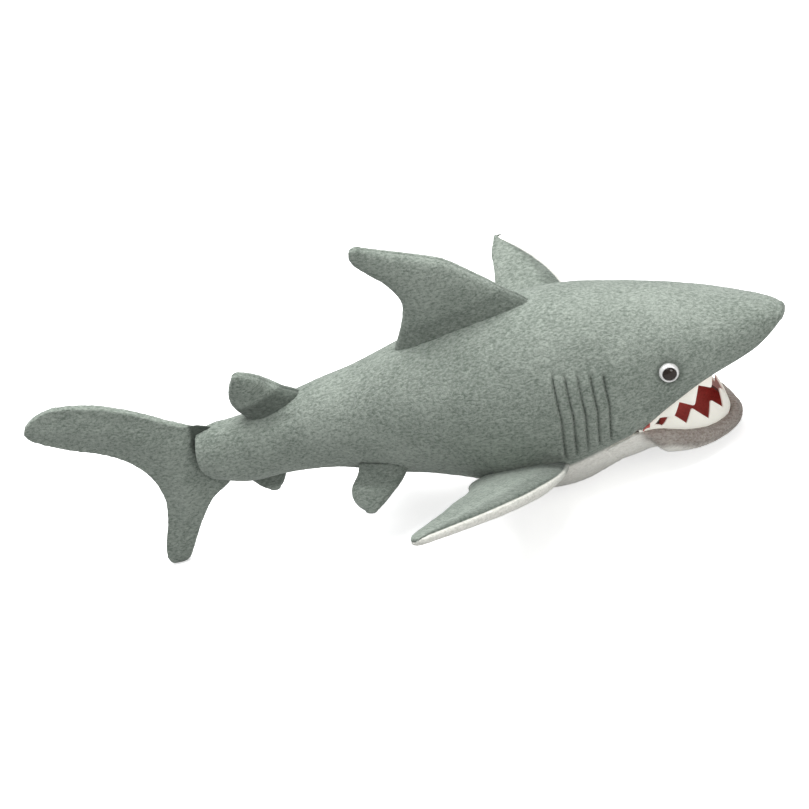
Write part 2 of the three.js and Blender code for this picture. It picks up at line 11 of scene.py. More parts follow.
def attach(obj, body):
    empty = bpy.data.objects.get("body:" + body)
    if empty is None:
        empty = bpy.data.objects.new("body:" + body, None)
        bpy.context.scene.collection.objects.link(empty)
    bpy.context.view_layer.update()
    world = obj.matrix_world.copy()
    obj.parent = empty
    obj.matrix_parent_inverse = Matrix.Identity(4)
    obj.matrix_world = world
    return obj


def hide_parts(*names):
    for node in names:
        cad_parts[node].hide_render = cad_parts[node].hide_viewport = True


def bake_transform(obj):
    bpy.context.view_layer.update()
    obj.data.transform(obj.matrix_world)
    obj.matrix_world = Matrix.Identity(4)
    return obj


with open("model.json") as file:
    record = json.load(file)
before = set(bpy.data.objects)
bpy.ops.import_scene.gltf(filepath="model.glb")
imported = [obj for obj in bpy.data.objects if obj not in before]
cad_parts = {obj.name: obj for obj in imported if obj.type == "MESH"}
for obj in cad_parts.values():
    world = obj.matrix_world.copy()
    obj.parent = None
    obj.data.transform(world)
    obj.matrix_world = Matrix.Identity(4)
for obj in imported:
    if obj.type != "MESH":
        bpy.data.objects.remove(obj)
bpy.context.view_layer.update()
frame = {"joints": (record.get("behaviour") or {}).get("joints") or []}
joints = {joint["name"]: joint for joint in frame["joints"]}

# The tables below are drawn in millimetres, and this moves them to the frame's own middle.
mm = 0.001
drawnTailBendX = -50
floorClearance = 0.3
shiftX = joints["tail_bend"]["pos_m"][0] / mm - drawnTailBendX


def toFrame(x, y, z):
    return Vector(((x + shiftX) * mm, y * mm, z * mm))


# small tools

def valueAt(rows, column, x):
    # a smooth curve through the rows, column 0 being where each one stands
    table = np.asarray(rows, float)
    x = np.asarray(x, float)
    xs, ys = table[:, 0], table[:, column]
    last = len(xs) - 1
    b = np.clip(np.searchsorted(xs, x), 1, last)
    a = b - 1
    before, after = np.maximum(b - 2, 0), np.minimum(b + 1, last)
    gap = xs[b] - xs[a]
    t = np.clip((x - xs[a]) / gap, 0, 1)
    slopeA = (ys[b] - ys[before]) / (xs[b] - xs[before]) * gap
    slopeB = (ys[after] - ys[a]) / (xs[after] - xs[a]) * gap
    return ((2 * t**3 - 3 * t**2 + 1) * ys[a] + (t**3 - 2 * t**2 + t) * slopeA
            + (3 * t**2 - 2 * t**3) * ys[b] + (t**3 - t**2) * slopeB)


def smoothStep(x, start, end):
    t = np.clip((np.asarray(x, float) - start) / (end - start), 0, 1)
    return t * t * (3 - 2 * t)


def bump(distance, width):
    return np.exp(-(distance / width) ** 2)


def softNoise(points, seed):
    # smooth noise from -1 to 1 at an array of points, one cell across each unit
    cell = np.floor(points).astype(np.int64)
    part = points - cell
    part = part * part * (3 - 2 * part)
    total = np.zeros(len(points))
    for corner in range(8):
        step = np.array([corner & 1, corner >> 1 & 1, corner >> 2 & 1])
        at = cell + step
        key = at[:, 0] * 73856093 ^ at[:, 1] * 19349663 ^ at[:, 2] * 83492791 ^ seed * 2654435761
        key = (key ^ key >> 13) * 1274126177 & 0x7FFFFFFF
        value = (key >> 7) % 4096 / 2048 - 1
        weight = np.where(step, part, 1 - part).prod(1)
        total += value * weight
    return total


def addObject(name, data):
    made = bpy.data.objects.new(name, data)
    bpy.context.scene.collection.objects.link(made)
    return made


def makeObject(name, points, faces, material):
    mesh = bpy.data.meshes.new(name)
    mesh.from_pydata(points.tolist(), [], faces)
    mesh.materials.append(material)
    mesh.polygons.foreach_set("use_smooth", np.ones(len(mesh.polygons), bool))
    mesh.update()
    return addObject(name, mesh)


def makeDrawn(name, points, faces, material):
    # the same, from points in drawing millimetres
    return makeObject(name, (points + [shiftX, 0, 0]) * mm, faces, material)


def drawnPoints(piece):
    # the piece's points in drawing millimetres, and its normals
    count = len(piece.data.vertices)
    points, normals = np.empty(count * 3), np.empty(count * 3, np.float32)
    piece.data.vertices.foreach_get("co", points)
    piece.data.vertices.foreach_get("normal", normals)
    return points.reshape(-1, 3) / mm - [shiftX, 0, 0], normals.reshape(-1, 3).astype(float)


def setPoints(piece, points):
    piece.data.vertices.foreach_set("co", ((points + [shiftX, 0, 0]) * mm).ravel())
    piece.data.update()


def pushOut(piece, points, normals, offset):
    # moves each point along its normal, and keeps it just above the floor
    moved = points + normals * offset[:, None]
    moved[:, 2] = np.maximum(moved[:, 2], floorClearance)
    setPoints(piece, moved)


def setAttribute(piece, name, values):
    attribute = piece.data.attributes.new(name, "FLOAT", "POINT")
    attribute.data.foreach_set("value", np.asarray(values, np.float32))


def setTone(piece, values):
    # 0 for a cover's first pile, 1 for its second
    setAttribute(piece, "tone", values)


def setPaintedShade(piece, values):
    # painted shade: how deep in a fold or seam each point is, darkening its colour there where shade would fall
    setAttribute(piece, "paintedFoldShade", np.clip(values, 0, 1))


def gridFaces(rows, columns, closed):
    # quads of a grid of points, row by row; closed joins the last column to the first
    i, j = np.meshgrid(np.arange(rows - 1), np.arange(columns if closed else columns - 1), indexing="ij")
    k = (j + 1) % columns
    quads = np.stack([i * columns + j, (i + 1) * columns + j, (i + 1) * columns + k, i * columns + k], -1)
    return quads.reshape(-1, 4)


def tubeMesh(grid, firstPole, lastPole):
    # points and faces of stacked rings, closed by a pole at each end
    rings, around = grid.shape[:2]
    points = np.concatenate([grid.reshape(-1, 3), [firstPole, lastPole]])
    faces = gridFaces(rings, around, True).tolist()
    last = (rings - 1) * around
    for j in range(around):
        k = (j + 1) % around
        faces.append([len(points) - 2, j, k])
        faces.append([len(points) - 1, last + k, last + j])
    return points, faces


def mendMesh(piece, merge=0.00002, fill=False, recalculate=True, outward=True):
    # merges doubles, closes holes and turns the faces outwards, as asked
    shape = bmesh.new()
    shape.from_mesh(piece.data)
    if merge:
        bmesh.ops.remove_doubles(shape, verts=shape.verts, dist=merge)
    if fill:
        bmesh.ops.holes_fill(shape, edges=[edge for edge in shape.edges if edge.is_boundary], sides=0)
        bmesh.ops.triangulate(shape, faces=[face for face in shape.faces if len(face.verts) > 4])
    if recalculate:
        bmesh.ops.recalc_face_normals(shape, faces=shape.faces)
    if outward and shape.calc_volume(signed=True) < 0:
        bmesh.ops.reverse_faces(shape, faces=shape.faces)
    shape.to_mesh(piece.data)
    shape.free()
    piece.data.update()


def addModifier(piece, name, kind, **settings):
    modifier = piece.modifiers.new(name, kind)
    for key, value in settings.items():
        setattr(modifier, key, value)
    return modifier


def settle(piece):
    # turns the piece's modifiers into plain mesh
    graph = bpy.context.evaluated_depsgraph_get()
    made = bpy.data.meshes.new_from_object(piece.evaluated_get(graph), depsgraph=graph)
    piece.modifiers.clear()
    piece.data = made
    made.polygons.foreach_set("use_smooth", np.ones(len(made.polygons), bool))
    made.update()


def thicken(piece, thickness):
    # gives a sheet of lining its thickness
    addModifier(piece, "thickness", "SOLIDIFY", thickness=thickness, offset=0)
    settle(piece)
    mendMesh(piece)


# materials

pileLook = {
    "grain": (300, 560, 560),        # tufts per metre along the body, across it and up it
    "contrast": 1.2,
    "strength": 0.75, "relief": 0.0012,
    "surface": {"Sheen Weight": 0.28, "Sheen Roughness": 0.45, "Specular IOR Level": 0.12,
                "Sheen Tint": (0.93, 0.97, 0.94, 1)},
    "warp": 0.0028,                  # how far the tufts wander, in metres
    # painted shade: the dark colour mixed into folds, seams and recesses
    "paintedShadeColour": (0.035, 0.045, 0.036),
    "greyDark": (0.128, 0.156, 0.131),
    "greyLight": (0.352, 0.392, 0.348),
    "paleDark": (0.72, 0.71, 0.65),
    "paleLight": (0.97, 0.96, 0.90),
    "lipDark": (0.225, 0.195, 0.172),
    "lipLight": (0.470, 0.430, 0.390),
}


def addNode(tree, kind, inputs=None, **settings):
    # inputs by name or number, each a plain value or the output it is linked from
    node = tree.nodes.new(kind)
    for key, value in settings.items():
        setattr(node, key, value)
    for key, value in (inputs or {}).items():
        if isinstance(value, bpy.types.NodeSocket):
            tree.links.new(value, node.inputs[key])
        else:
            node.inputs[key].default_value = value
    return node


def makeGroup(name, treeKind, inputs, outputs):
    tree = bpy.data.node_groups.new(name, treeKind)
    for label, kind, default in inputs:
        socket = tree.interface.new_socket(label, in_out="INPUT", socket_type=kind)
        if default is not None:
            socket.default_value = default
    for label, kind in outputs:
        tree.interface.new_socket(label, in_out="OUTPUT", socket_type=kind)
    return tree, tree.nodes.new("NodeGroupInput"), tree.nodes.new("NodeGroupOutput")


def mathNode(tree, operation, *values):
    return addNode(tree, "ShaderNodeMath", dict(enumerate(values)), operation=operation).outputs[0]


def vectorNode(tree, operation, first, second):
    inputs = {0: first, "Scale" if operation == "SCALE" else 1: second}
    return addNode(tree, "ShaderNodeVectorMath", inputs, operation=operation).outputs[0]


def noiseNode(tree, vector, scale, detail, roughness=0.5):
    return addNode(tree, "ShaderNodeTexNoise",
                   {"Vector": vector, "Scale": scale, "Detail": detail, "Roughness": roughness})


def makePileGroup():
    # short brushed pile: wandering tufts, lighter and darker patches where it has been stroked
    tree, given, made = makeGroup(
        "pileTexture", "ShaderNodeTree",
        [("Vector", "NodeSocketVector", (0, 0, 0)), ("Grain", "NodeSocketVector", (200, 330, 330)),
         ("Warp", "NodeSocketFloat", 0.003), ("Contrast", "NodeSocketFloat", 1.0)],
        [("Shade", "NodeSocketFloat"), ("Height", "NodeSocketFloat")],
    )
    place = given.outputs["Vector"]
    wander = vectorNode(tree, "SUBTRACT", noiseNode(tree, place, 130, 2).outputs["Color"], (0.5, 0.5, 0.5))
    moved = vectorNode(tree, "ADD", place, vectorNode(tree, "SCALE", wander, given.outputs["Warp"]))
    stretched = vectorNode(tree, "MULTIPLY", moved, given.outputs["Grain"])
    tufts = noiseNode(tree, stretched, 1, 3, 0.62).outputs["Fac"]
    fibres = noiseNode(tree, stretched, 3.4, 2).outputs["Fac"]
    patches = noiseNode(tree, place, 24, 3).outputs["Fac"]
    height = mathNode(tree, "ADD", tufts, mathNode(tree, "MULTIPLY_ADD", fibres, 0.35, -0.175))
    tuftShade = mathNode(tree, "MULTIPLY", mathNode(tree, "SUBTRACT", height, 0.5), 2.0)
    patchShade = mathNode(tree, "MULTIPLY", mathNode(tree, "SUBTRACT", patches, 0.5), 0.6)
    both = mathNode(tree, "ADD", tuftShade, patchShade)
    shade = mathNode(tree, "ADD", mathNode(tree, "MULTIPLY", both, given.outputs["Contrast"]), 0.5)
    shade.node.use_clamp = True
    tree.links.new(shade, made.inputs["Shade"])
    tree.links.new(height, made.inputs["Height"])
    return tree


pileGroup = makePileGroup()


def principled(name, roughness, **settings):
    material = bpy.data.materials.new(name)
    material.use_nodes = True
    shader = material.node_tree.nodes["Principled BSDF"]
    shader.inputs["Roughness"].default_value = roughness
    for key, value in settings.items():
        shader.inputs[key].default_value = value
    return material, material.node_tree, shader


def mixColours(tree, share, *colours):
    # each colour is a triple or the output it comes from
    first, second = (c if isinstance(c, bpy.types.NodeSocket) else (*c, 1) for c in colours)
    return addNode(tree, "ShaderNodeMix", {0: share, 6: first, 7: second}, data_type="RGBA").outputs[2]


def addPile(tree, shader, grain, warp, contrast, strength, relief):
    # the pile on the piece's own coordinates, with its relief on the shader
    place = addNode(tree, "ShaderNodeTexCoord").outputs["Object"]
    pile = addNode(tree, "ShaderNodeGroup", node_tree=pileGroup)
    for label, value in (("Grain", grain), ("Warp", warp), ("Contrast", contrast)):
        pile.inputs[label].default_value = value
    tree.links.new(place, pile.inputs["Vector"])
    raised = addNode(tree, "ShaderNodeBump",
                     {"Strength": strength, "Distance": relief, "Height": pile.outputs["Height"]})
    tree.links.new(raised.outputs[0], shader.inputs["Normal"])
    return pile.outputs["Shade"]


def plushMaterial(name, dark, light, otherDark, otherLight):
    # two piles that meet where the tone attribute goes from 0 to 1, darkened by painted shade as the attribute
    # for folds and seams rises
    material, tree, shader = principled(name, 0.9, **pileLook["surface"])
    shade = addPile(tree, shader, pileLook["grain"], pileLook["warp"], pileLook["contrast"],
                    pileLook["strength"], pileLook["relief"])
    tone, paintedFoldShade = (addNode(tree, "ShaderNodeAttribute", attribute_name=word).outputs["Fac"]
                  for word in ("tone", "paintedFoldShade"))
    colour = mixColours(tree, tone, mixColours(tree, shade, dark, light),
                        mixColours(tree, shade, otherDark, otherLight))
    tree.links.new(mixColours(tree, paintedFoldShade, colour, pileLook["paintedShadeColour"]), shader.inputs["Base Color"])
    return material


def clothMaterial(name, dark, light, roughness, grain, relief, **settings):
    # brushed cloth, felt and plastic: the same pile, much finer and flatter
    material, tree, shader = principled(name, roughness, **settings)
    shade = addPile(tree, shader, grain, 0.002, 0.8, 0.5, relief)
    tree.links.new(mixColours(tree, shade, dark, light), shader.inputs["Base Color"])
    return material


greyPlush = plushMaterial("grey_plush", pileLook["greyDark"], pileLook["greyLight"],
                          pileLook["paleDark"], pileLook["paleLight"])
lipPlush = plushMaterial("lip_plush", pileLook["paleDark"], pileLook["paleLight"],
                         pileLook["lipDark"], pileLook["lipLight"])
redCloth = clothMaterial("red_cloth", (0.46, 0.085, 0.072), (0.70, 0.150, 0.125), 0.75,
                         (500, 500, 500), 0.0003, **{"Sheen Weight": 0.2})
# painted light: the white felt glows faintly, brightening the teeth
glowingWhiteFelt = clothMaterial("white_felt", (0.96, 0.95, 0.84), (1.0, 0.995, 0.93), 0.85,
                          (700, 700, 700), 0.0002,
                          **{"Emission Color": (1, 0.99, 0.92, 1), "Emission Strength": 0.06})
threadMaterial = clothMaterial("sewing_thread", (0.035, 0.045, 0.037), (0.09, 0.11, 0.09), 0.7,
                               (1500, 1500, 1500), 0.0001)
silverPlastic = clothMaterial("eye_silver", (0.78, 0.78, 0.77), (0.90, 0.90, 0.89), 0.22,
                              (300, 300, 300), 0.00002,
                              **{"Metallic": 0.25, "Coat Weight": 0.6, "Coat Roughness": 0.05})
darkPlastic = clothMaterial("eye_dark", (0.010, 0.006, 0.004), (0.030, 0.018, 0.012), 0.07,
                            (200, 200, 200), 0.00001)

# body cover

body = {
    # x, height of the back, height of the underside, half the width
    "sections": [
        (-184, 124, 75, 18), (-170, 127.5, 71, 22), (-150, 128.2, 68.4, 24), (-110, 134.8, 68.3, 27.5),
        (-70, 143.5, 62, 33.6), (-30, 149.3, 48.6, 42), (10, 159.5, 37, 51.5), (50, 165.5, 21, 61),
        (90, 172, 1.5, 68), (130, 176, -2, 70), (170, 173.5, 8.8, 68), (205, 165, 16, 62.5),
        (230, 157.5, 37, 57), (250, 150.5, 50, 52.5), (270, 142.8, 59, 47), (290, 134.6, 67, 40.5),
        (310, 127.2, 74, 33), (326, 121.4, 81, 25.5), (336, 117.2, 87, 19), (342, 114.2, 91.5, 14.5),
        (346, 111.0, 95, 10.5),
    ],
    # the belly seam, then the upper lip from the corner of the mouth on
    "edge": [
        (-60, 62), (0, 46), (60, 36), (140, 43), (188, 52), (207, 57), (230, 66), (249, 73), (265, 79),
        (280, 83), (308, 87.5), (321, 90), (336, 96), (353, 105),
    ],
    "lowerFullness": 0.9,
    "gridTurn": 0.66,                # share of a half turn that the side rows take in the tail
    "sideRows": 86,
    "underRows": 84,
    "paleFrom": -42,                 # the belly panel narrows to a point here
    "throatSeam": 172,               # the belly panel is sewn to the throat here
    "throatTuck": 6,                 # the cover goes this deep under the throat
    "roofRise": (196, 206),          # where it turns up to the roof of the mouth
    "palateArch": 10,
    "palateFront": 295,
    "stockEnd": [(60, -157), (68, -165), (80, -178), (94, -186), (108, -187), (128, -183), (140, -180)],
    "noseBulge": 3.5,
    # the belly seam's groove depth, and the painted shade along it
    "seamDepth": 1.3, "seamPaintedShade": 0.3,
    "backSeamDepth": 0.55,
    "mouthFrom": 207,
    "lumps": 1.1,                    # unevenness of the stuffing
    "pileHeight": 0.34,
}
gills = {
    "count": 5,
    "first": [(52, 137), (94, 150), (136, 156)],   # height and x of the rear tuck, from the bottom up
    "last": [(56, 180), (92, 193), (124, 198)],
    "depth": 2.6,
    "width": 1.4,
    "pillow": 2.8,
    "pillowReach": 5.5,
    # painted shade along each tuck, and its width
    "paintedFoldShade": 0.38, "paintedShadeWidth": 0.85,
    "fromMiddle": 25,                # no tuck comes nearer to the middle of the toy
}


def bodyPoint(x, turn, inset=0.0):
    x, turn = np.broadcast_arrays(np.asarray(x, float), np.asarray(turn, float))
    crown, keel, half = (valueAt(body["sections"], k, x) for k in (1, 2, 3))
    half = np.maximum(half - inset, 0.4)
    tall = np.maximum((crown - keel) / 2 - inset, 0.4)
    power = np.where(np.cos(turn) < 0, body["lowerFullness"], 1)
    across = np.sign(np.sin(turn)) * np.abs(np.sin(turn)) ** power
    up = np.sign(np.cos(turn)) * np.abs(np.cos(turn)) ** power
    z = np.maximum((crown + keel) / 2 + tall * up, inset)
    return np.stack([x, half * across, z], -1)


def turnAtHeight(x, z):
    crown, keel = valueAt(body["sections"], 1, x), valueAt(body["sections"], 2, x)
    up = np.clip((z - (crown + keel) / 2) / ((crown - keel) / 2), -0.999, 0.999)
    power = np.where(up < 0, body["lowerFullness"], 1)
    return np.arccos(np.sign(up) * np.abs(up) ** (1 / power))


def edgeHeight(x):
    return valueAt(body["edge"], 1, x)


def lipHalfWidth(x):
    return np.abs(bodyPoint(x, turnAtHeight(x, edgeHeight(x)))[..., 1])


def roofHeight(x, y):
    half = lipHalfWidth(x)
    share = np.clip(y / half, -1, 1) ** 2
    fade = smoothStep(body["palateFront"] + 30 - x, 0, 60)
    bulge = smoothStep(x, 300, 335) * body["noseBulge"]
    return edgeHeight(x) + (fade * body["palateArch"] - bulge) * (1 - share)


def gillLine(k, z):
    # x of tuck k, counted from the rear, at height z
    first = np.interp(z, *zip(*gills["first"]))
    last = np.interp(z, *zip(*gills["last"]))
    return first + (last - first) * k / (gills["count"] - 1)


def gillSpan(k):
    # the heights of its lower and upper end
    share = k / (gills["count"] - 1)
    ends = ((gills["first"][row][0], gills["last"][row][0]) for row in (0, 2))
    return tuple(first + (last - first) * share for first, last in ends)


def seamTurn(x):
    # turn of the seam between the grey sides and the pale belly, closing to a point at the tail
    seam = turnAtHeight(x, edgeHeight(x))
    return seam + (math.pi - seam) * (1 - smoothStep(x, body["paleFrom"], body["paleFrom"] + 75)) ** 1.6


def gridTurn(x):
    rows = turnAtHeight(x, edgeHeight(x))
    tail = body["gridTurn"] * math.pi
    return tail + (rows - tail) * smoothStep(x, 20, 120)


def underPoints(x, share):
    turn = gridTurn(x) + (2 * math.pi - 2 * gridTurn(x)) * share
    fromEdge = smoothStep(np.minimum(share, 1 - share), 0, 0.035)
    tuck = smoothStep(x, body["throatSeam"] - 2, body["throatSeam"] + 8) * body["throatTuck"] * fromEdge
    belly = bodyPoint(x, turn, tuck)
    y = lipHalfWidth(x) * (1 - 2 * share)
    roof = np.stack([x, y, roofHeight(x, y) + 1.8 * fromEdge], -1)
    rise = smoothStep(x, *body["roofRise"])[..., None]
    return belly + (roof - belly) * rise


def bodyColumns():
    # columns stand closer where the gill tucks and the nose need them
    steps = [(-184, -160, 1.2), (-160, 128, 1.75), (128, 204, 0.95), (204, 330, 1.65), (330, 346, 1.1)]
    runs = [np.arange(start, end, step) for start, end, step in steps]
    return np.concatenate(runs + [np.array([346.0])])


def stockEndX(z):
    # where the tail stock ends at a height
    return valueAt(body["stockEnd"], 1, np.clip(z, 60, 140))


def turnCentre(x):
    return (valueAt(body["sections"], 1, x) + valueAt(body["sections"], 2, x)) / 2


def makeBodyCover():
    xs = bodyColumns()
    side, under = body["sideRows"], body["underRows"]
    x = np.repeat(xs[:, None], side, 1)
    share = np.repeat(np.arange(side)[None, :] / side, len(xs), 0)
    left = bodyPoint(x, gridTurn(x) * share)
    right = bodyPoint(x, 2 * math.pi - gridTurn(x) * (1 - share))
    xUnder = np.repeat(xs[:, None], under, 1)
    shareUnder = np.repeat(np.arange(under)[None, :] / under, len(xs), 0)
    rings = np.concatenate([left, underPoints(xUnder, shareUnder), right], 1)
    # the round nose and the round end of the tail stock
    capTurns = np.linspace(0, math.pi / 2, 8)[1:-1]
    def cap(ring, reach):
        middle = (ring.min(0) + ring.max(0)) / 2
        made = []
        for turn in capTurns:
            shrunk = middle + (ring - middle) * math.cos(turn)
            flat = ring[:, 0] * math.cos(turn) + ring[:, 0].mean() * (1 - math.cos(turn))
            shrunk[:, 0] = flat + reach * math.sin(turn)
            made.append(shrunk)
        return made, np.array([ring[:, 0].mean() + reach, 0, middle[2]])
    nose, nosePole = cap(rings[-1], 4.0)
    rings[..., 0] += (stockEndX(rings[..., 2]) + 184) * smoothStep(-xs, 150, 184)[:, None]
    tail, tailPole = cap(rings[0], -2.5)
    points, faces = tubeMesh(np.array(tail[::-1] + list(rings) + nose), tailPole, nosePole)
    piece = makeDrawn("body_cover", points, faces, greyPlush)
    mendMesh(piece, 0.000001)
    return piece


def pileOffset(points, height, seed=3):
    # tufts of brushed pile as relief on the mesh
    warp = np.stack([softNoise(points / 9 + shift, seed + 20) for shift in (0, 31.7, 63.1)], -1) * 2.2
    grain = (points + warp) / [4.6, 2.3, 2.3]
    return height * (0.65 * softNoise(grain, seed) + 0.35 * softNoise(grain * 1.9 + 7, seed + 1))


def lumpOffset(points, height, seed=11):
    broad, small = softNoise(points / [58, 40, 40], seed), softNoise(points / [24, 19, 19], seed + 1)
    return height * (0.75 * broad + 0.4 * small)


def tuckShare(k, z, ramp):
    # 1 along tuck k, fading out over the ramp at both of its ends
    low, high = gillSpan(k)
    return smoothStep(z, low - 3, low + ramp) * (1 - smoothStep(z, high - ramp, high + 2))


def gillOffset(points):
    x, z = points[:, 0], points[:, 2]
    depth = np.zeros(len(points))
    for k in range(gills["count"]):
        d = x - gillLine(k, z)
        along = tuckShare(k, z, 7)
        depth -= gills["depth"] * bump(d, gills["width"]) * along
        # the cloth behind each tuck laps over it and runs down to the next one
        swell = np.where(d < 0, np.exp(np.minimum(d, 0) / gills["pillowReach"]), 0) * smoothStep(-d, 0, 1.8)
        depth += gills["pillow"] * swell * along
    return depth * (np.abs(points[:, 1]) > gills["fromMiddle"])


def creaseOffset(points, creases):
    # each crease: from, to, depth and width, on both sides of the toy
    depth = np.zeros(len(points))
    side = points * [1, 0, 1]
    for start, end, deep, width in creases:
        a, b = np.array([start[0], 0, start[1]], float), np.array([end[0], 0, end[1]], float)
        t = np.clip((side - a) @ (b - a) / ((b - a) @ (b - a)), 0, 1)
        distance = np.linalg.norm(side - a - t[:, None] * (b - a), axis=1)
        depth -= deep * bump(distance, width) * np.sin(np.clip(t, 0.05, 0.95) * math.pi) ** 0.5
    return depth


# the eye's place and dent, and a ring of painted shade round it (the last three values)
eyes = {"x": 250.5, "z": 103, "yaw": 17, "pitch": 4, "radius": 8.7, "pupil": 6.0, "sunk": 2.2,
        "dent": 4.2, "dentWidth": 12.5, "paintedFoldShade": 0.45, "paintedShadeRadius": 9.5, "paintedShadeWidth": 2.6}
bodyCreases = [
    ((118, 60), (137, 53), 1.6, 3.0), ((96, 52), (122, 58), 0.9, 4.0),
    ((-162, 96), (-158, 122), 0.9, 2.2), ((204, 58), (214, 60), 1.2, 4.0),
    ((-138, 126), (-92, 130), 2.2, 4.5),
]


def eyePoint(side):
    return bodyPoint(eyes["x"], side * float(turnAtHeight(eyes["x"], eyes["z"])))


def eyeFrame(side):
    lean = -side * (math.pi / 2 - math.radians(eyes["pitch"]))
    turned = Matrix.Rotation(-side * math.radians(eyes["yaw"]), 4, "Z") @ Matrix.Rotation(lean, 4, "X")
    sunk = Matrix.Translation((0, 0, -eyes["sunk"] * mm))
    return Matrix.Translation(toFrame(*eyePoint(side))) @ turned @ sunk


bodyCover = makeBodyCover()
points, normals = drawnPoints(bodyCover)
x, y, z = points.T
turn = np.abs(np.arctan2(y, z - turnCentre(x)))
half = valueAt(body["sections"], 3, x)
seamX = np.clip(x, -180, 206)
seam = bodyPoint(seamX, seamTurn(seamX))
seamAngle = np.arctan2(seam[:, 1], seam[:, 2] - turnCentre(seamX))
fromSeam = (turn - np.abs(seamAngle)) * half * 0.9
isUnder = (x > body["paleFrom"]) & (x < body["mouthFrom"])
paleTone = smoothStep(fromSeam, -0.9, 0.9) * isUnder
setTone(bodyCover, paleTone)
# painted shade along the gill tucks, in a ring round the eye and along the belly seam
gillPaintedShade = np.zeros(len(points))
onSide = np.abs(y) > gills["fromMiddle"]
for k in range(gills["count"]):
    inTuck = tuckShare(k, z, 5) * onSide
    gillPaintedShade = np.maximum(gillPaintedShade, gills["paintedFoldShade"] * bump(x - gillLine(k, z), gills["paintedShadeWidth"]) * inTuck)
fromEye = np.linalg.norm((points - eyePoint(1)) * [1, 0, 1], axis=1)
eyePaintedShade = eyes["paintedFoldShade"] * bump(fromEye - eyes["paintedShadeRadius"], eyes["paintedShadeWidth"]) * onSide
setPaintedShade(bodyCover, gillPaintedShade + eyePaintedShade + body["seamPaintedShade"] * bump(fromSeam, 1.4) * isUnder)
outer = (x < body["mouthFrom"]) | (z > edgeHeight(x) + 1.5)
offset = lumpOffset(points, body["lumps"]) * smoothStep(x, -190, -150) * (1 - smoothStep(x, 300, 345))
offset += gillOffset(points) + creaseOffset(points, bodyCreases)
offset -= body["seamDepth"] * bump(fromSeam, 2.2) * isUnder
offset -= body["backSeamDepth"] * bump(y, 1.7) * (z > 100) * (x < 350)
for side in (-1, 1):
    fromEye = np.linalg.norm(points - eyePoint(side), axis=1)
    offset -= eyes["dent"] * bump(fromEye, eyes["dentWidth"])
offset += pileOffset(points, body["pileHeight"])
pushOut(bodyCover, points, normals, offset * outer)
print("body cover:", len(bodyCover.data.polygons), "faces")

# throat and lower jaw

jaw = {
    # x, top of the lip, underside, half the width
    "sections": [
        (207.5, 52, 18, 54), (225, 43, 13, 50), (240, 34, 9.5, 45), (254, 27, 6.5, 37.5),
        (265, 22.8, 4, 27.5),
        (272, 20.2, 3.5, 17.5), (276.5, 17.2, 5, 8),
    ],
    # x, floor of the mouth
    "floor": [(200, 34), (225, 22), (240, 16), (254, 13), (262, 14), (267, 18)],
    "outline": [(207.5, 54), (225, 50), (240, 45), (253, 37.5), (263, 27.5), (269.6, 17.5), (273.5, 8.5),
                (274.5, 0)],
    "span": (207.5, 276.5),
    "lipRadius": 5.2,
    "throatBack": 170,
    "merge": (195, 219),             # the throat turns into the jaw here
    "spineShare": 0.66,              # how the front of the jaw gathers towards the chin
    "columns": 74,                   # round half of the jaw
    "throatColumns": 26,
    "liningFrom": 42,                # the lining starts at this point of a section, inside the lip
    "pileHeight": 0.3,
}


def evenAlong(path, count):
    # points evenly spaced along a smooth curve through the path
    path = np.array(path, float)
    length = np.concatenate([[0], np.cumsum(np.linalg.norm(np.diff(path, axis=0), axis=1))])
    rows = np.column_stack([length, path])
    at = np.linspace(0, length[-1], count)
    return np.column_stack([valueAt(rows, 1, at), valueAt(rows, 2, at)])


def jawOutline():
    # x and half width of the widest line, from the hinge round to the front
    return np.maximum(evenAlong(jaw["outline"], jaw["columns"]), [-np.inf, 0])


def bothSides(left):
    # one side's sections, then the other side's back again
    return np.concatenate([left, left[:-1][::-1] * [1, -1, 1]])


def alongJaw(x):
    return np.clip(x, *jaw["span"])


def jawSection(x, y, lining=0.0):
    # points from the chin line, out and up to the lip, over it and down the bowl, for one side
    spineX = x if x < 225 else 225 + (x - 225) * jaw["spineShare"]
    reach = math.hypot(x - spineX, y)
    top, bottom = (float(valueAt(jaw["sections"], k, alongJaw(x))) for k in (1, 2))
    chin = float(valueAt(jaw["sections"], 2, alongJaw(spineX)))
    floor = float(valueAt(jaw["floor"], 1, min(max(spineX, 200), 267))) - lining
    middle, radius = (top + bottom) / 2, jaw["lipRadius"]
    turns = np.linspace(0, math.pi / 2, 24)
    outerH = reach * np.sin(turns) ** 0.8
    outerZ = chin + (middle - chin) * (1 - np.cos(turns) ** 0.8)
    wallZ = np.linspace(middle, top - radius, 8)[1:]
    bulge = np.sin(np.linspace(0, math.pi, 8)[1:]) * 0.8
    arc = np.linspace(0, math.pi, 14)[1:]
    arcH = reach - radius + radius * np.cos(arc)
    arcZ = top - radius + radius * np.sin(arc)
    inner = max(reach - 2 * radius + lining, 1.0)
    bowl = np.linspace(math.pi / 2, 0, 20)[1:]
    bowlH = inner * np.sin(bowl) ** 0.7
    bowlZ = floor + (top - radius - floor) * (1 - np.cos(bowl) ** 0.6)
    h = np.concatenate([outerH, reach + bulge, arcH, bowlH])
    z = np.concatenate([outerZ, wallZ, arcZ, bowlZ])
    direction = np.array([x - spineX, y]) / max(reach, 0.001)
    return np.column_stack([spineX + direction[0] * h, direction[1] * h, z])


def throatSection(x):
    # the same number of points: out along the underside to the seam, then back inside the cover
    edge = float(turnAtHeight(x, edgeHeight(x))) + 0.012
    outward = np.linspace(math.pi, edge, 31)
    back = np.linspace(edge, math.pi, 33)[1:]
    outside = bodyPoint(np.full(31, x), outward)
    inside = bodyPoint(np.full(32, x), back, 4.5)
    return np.concatenate([outside, inside])


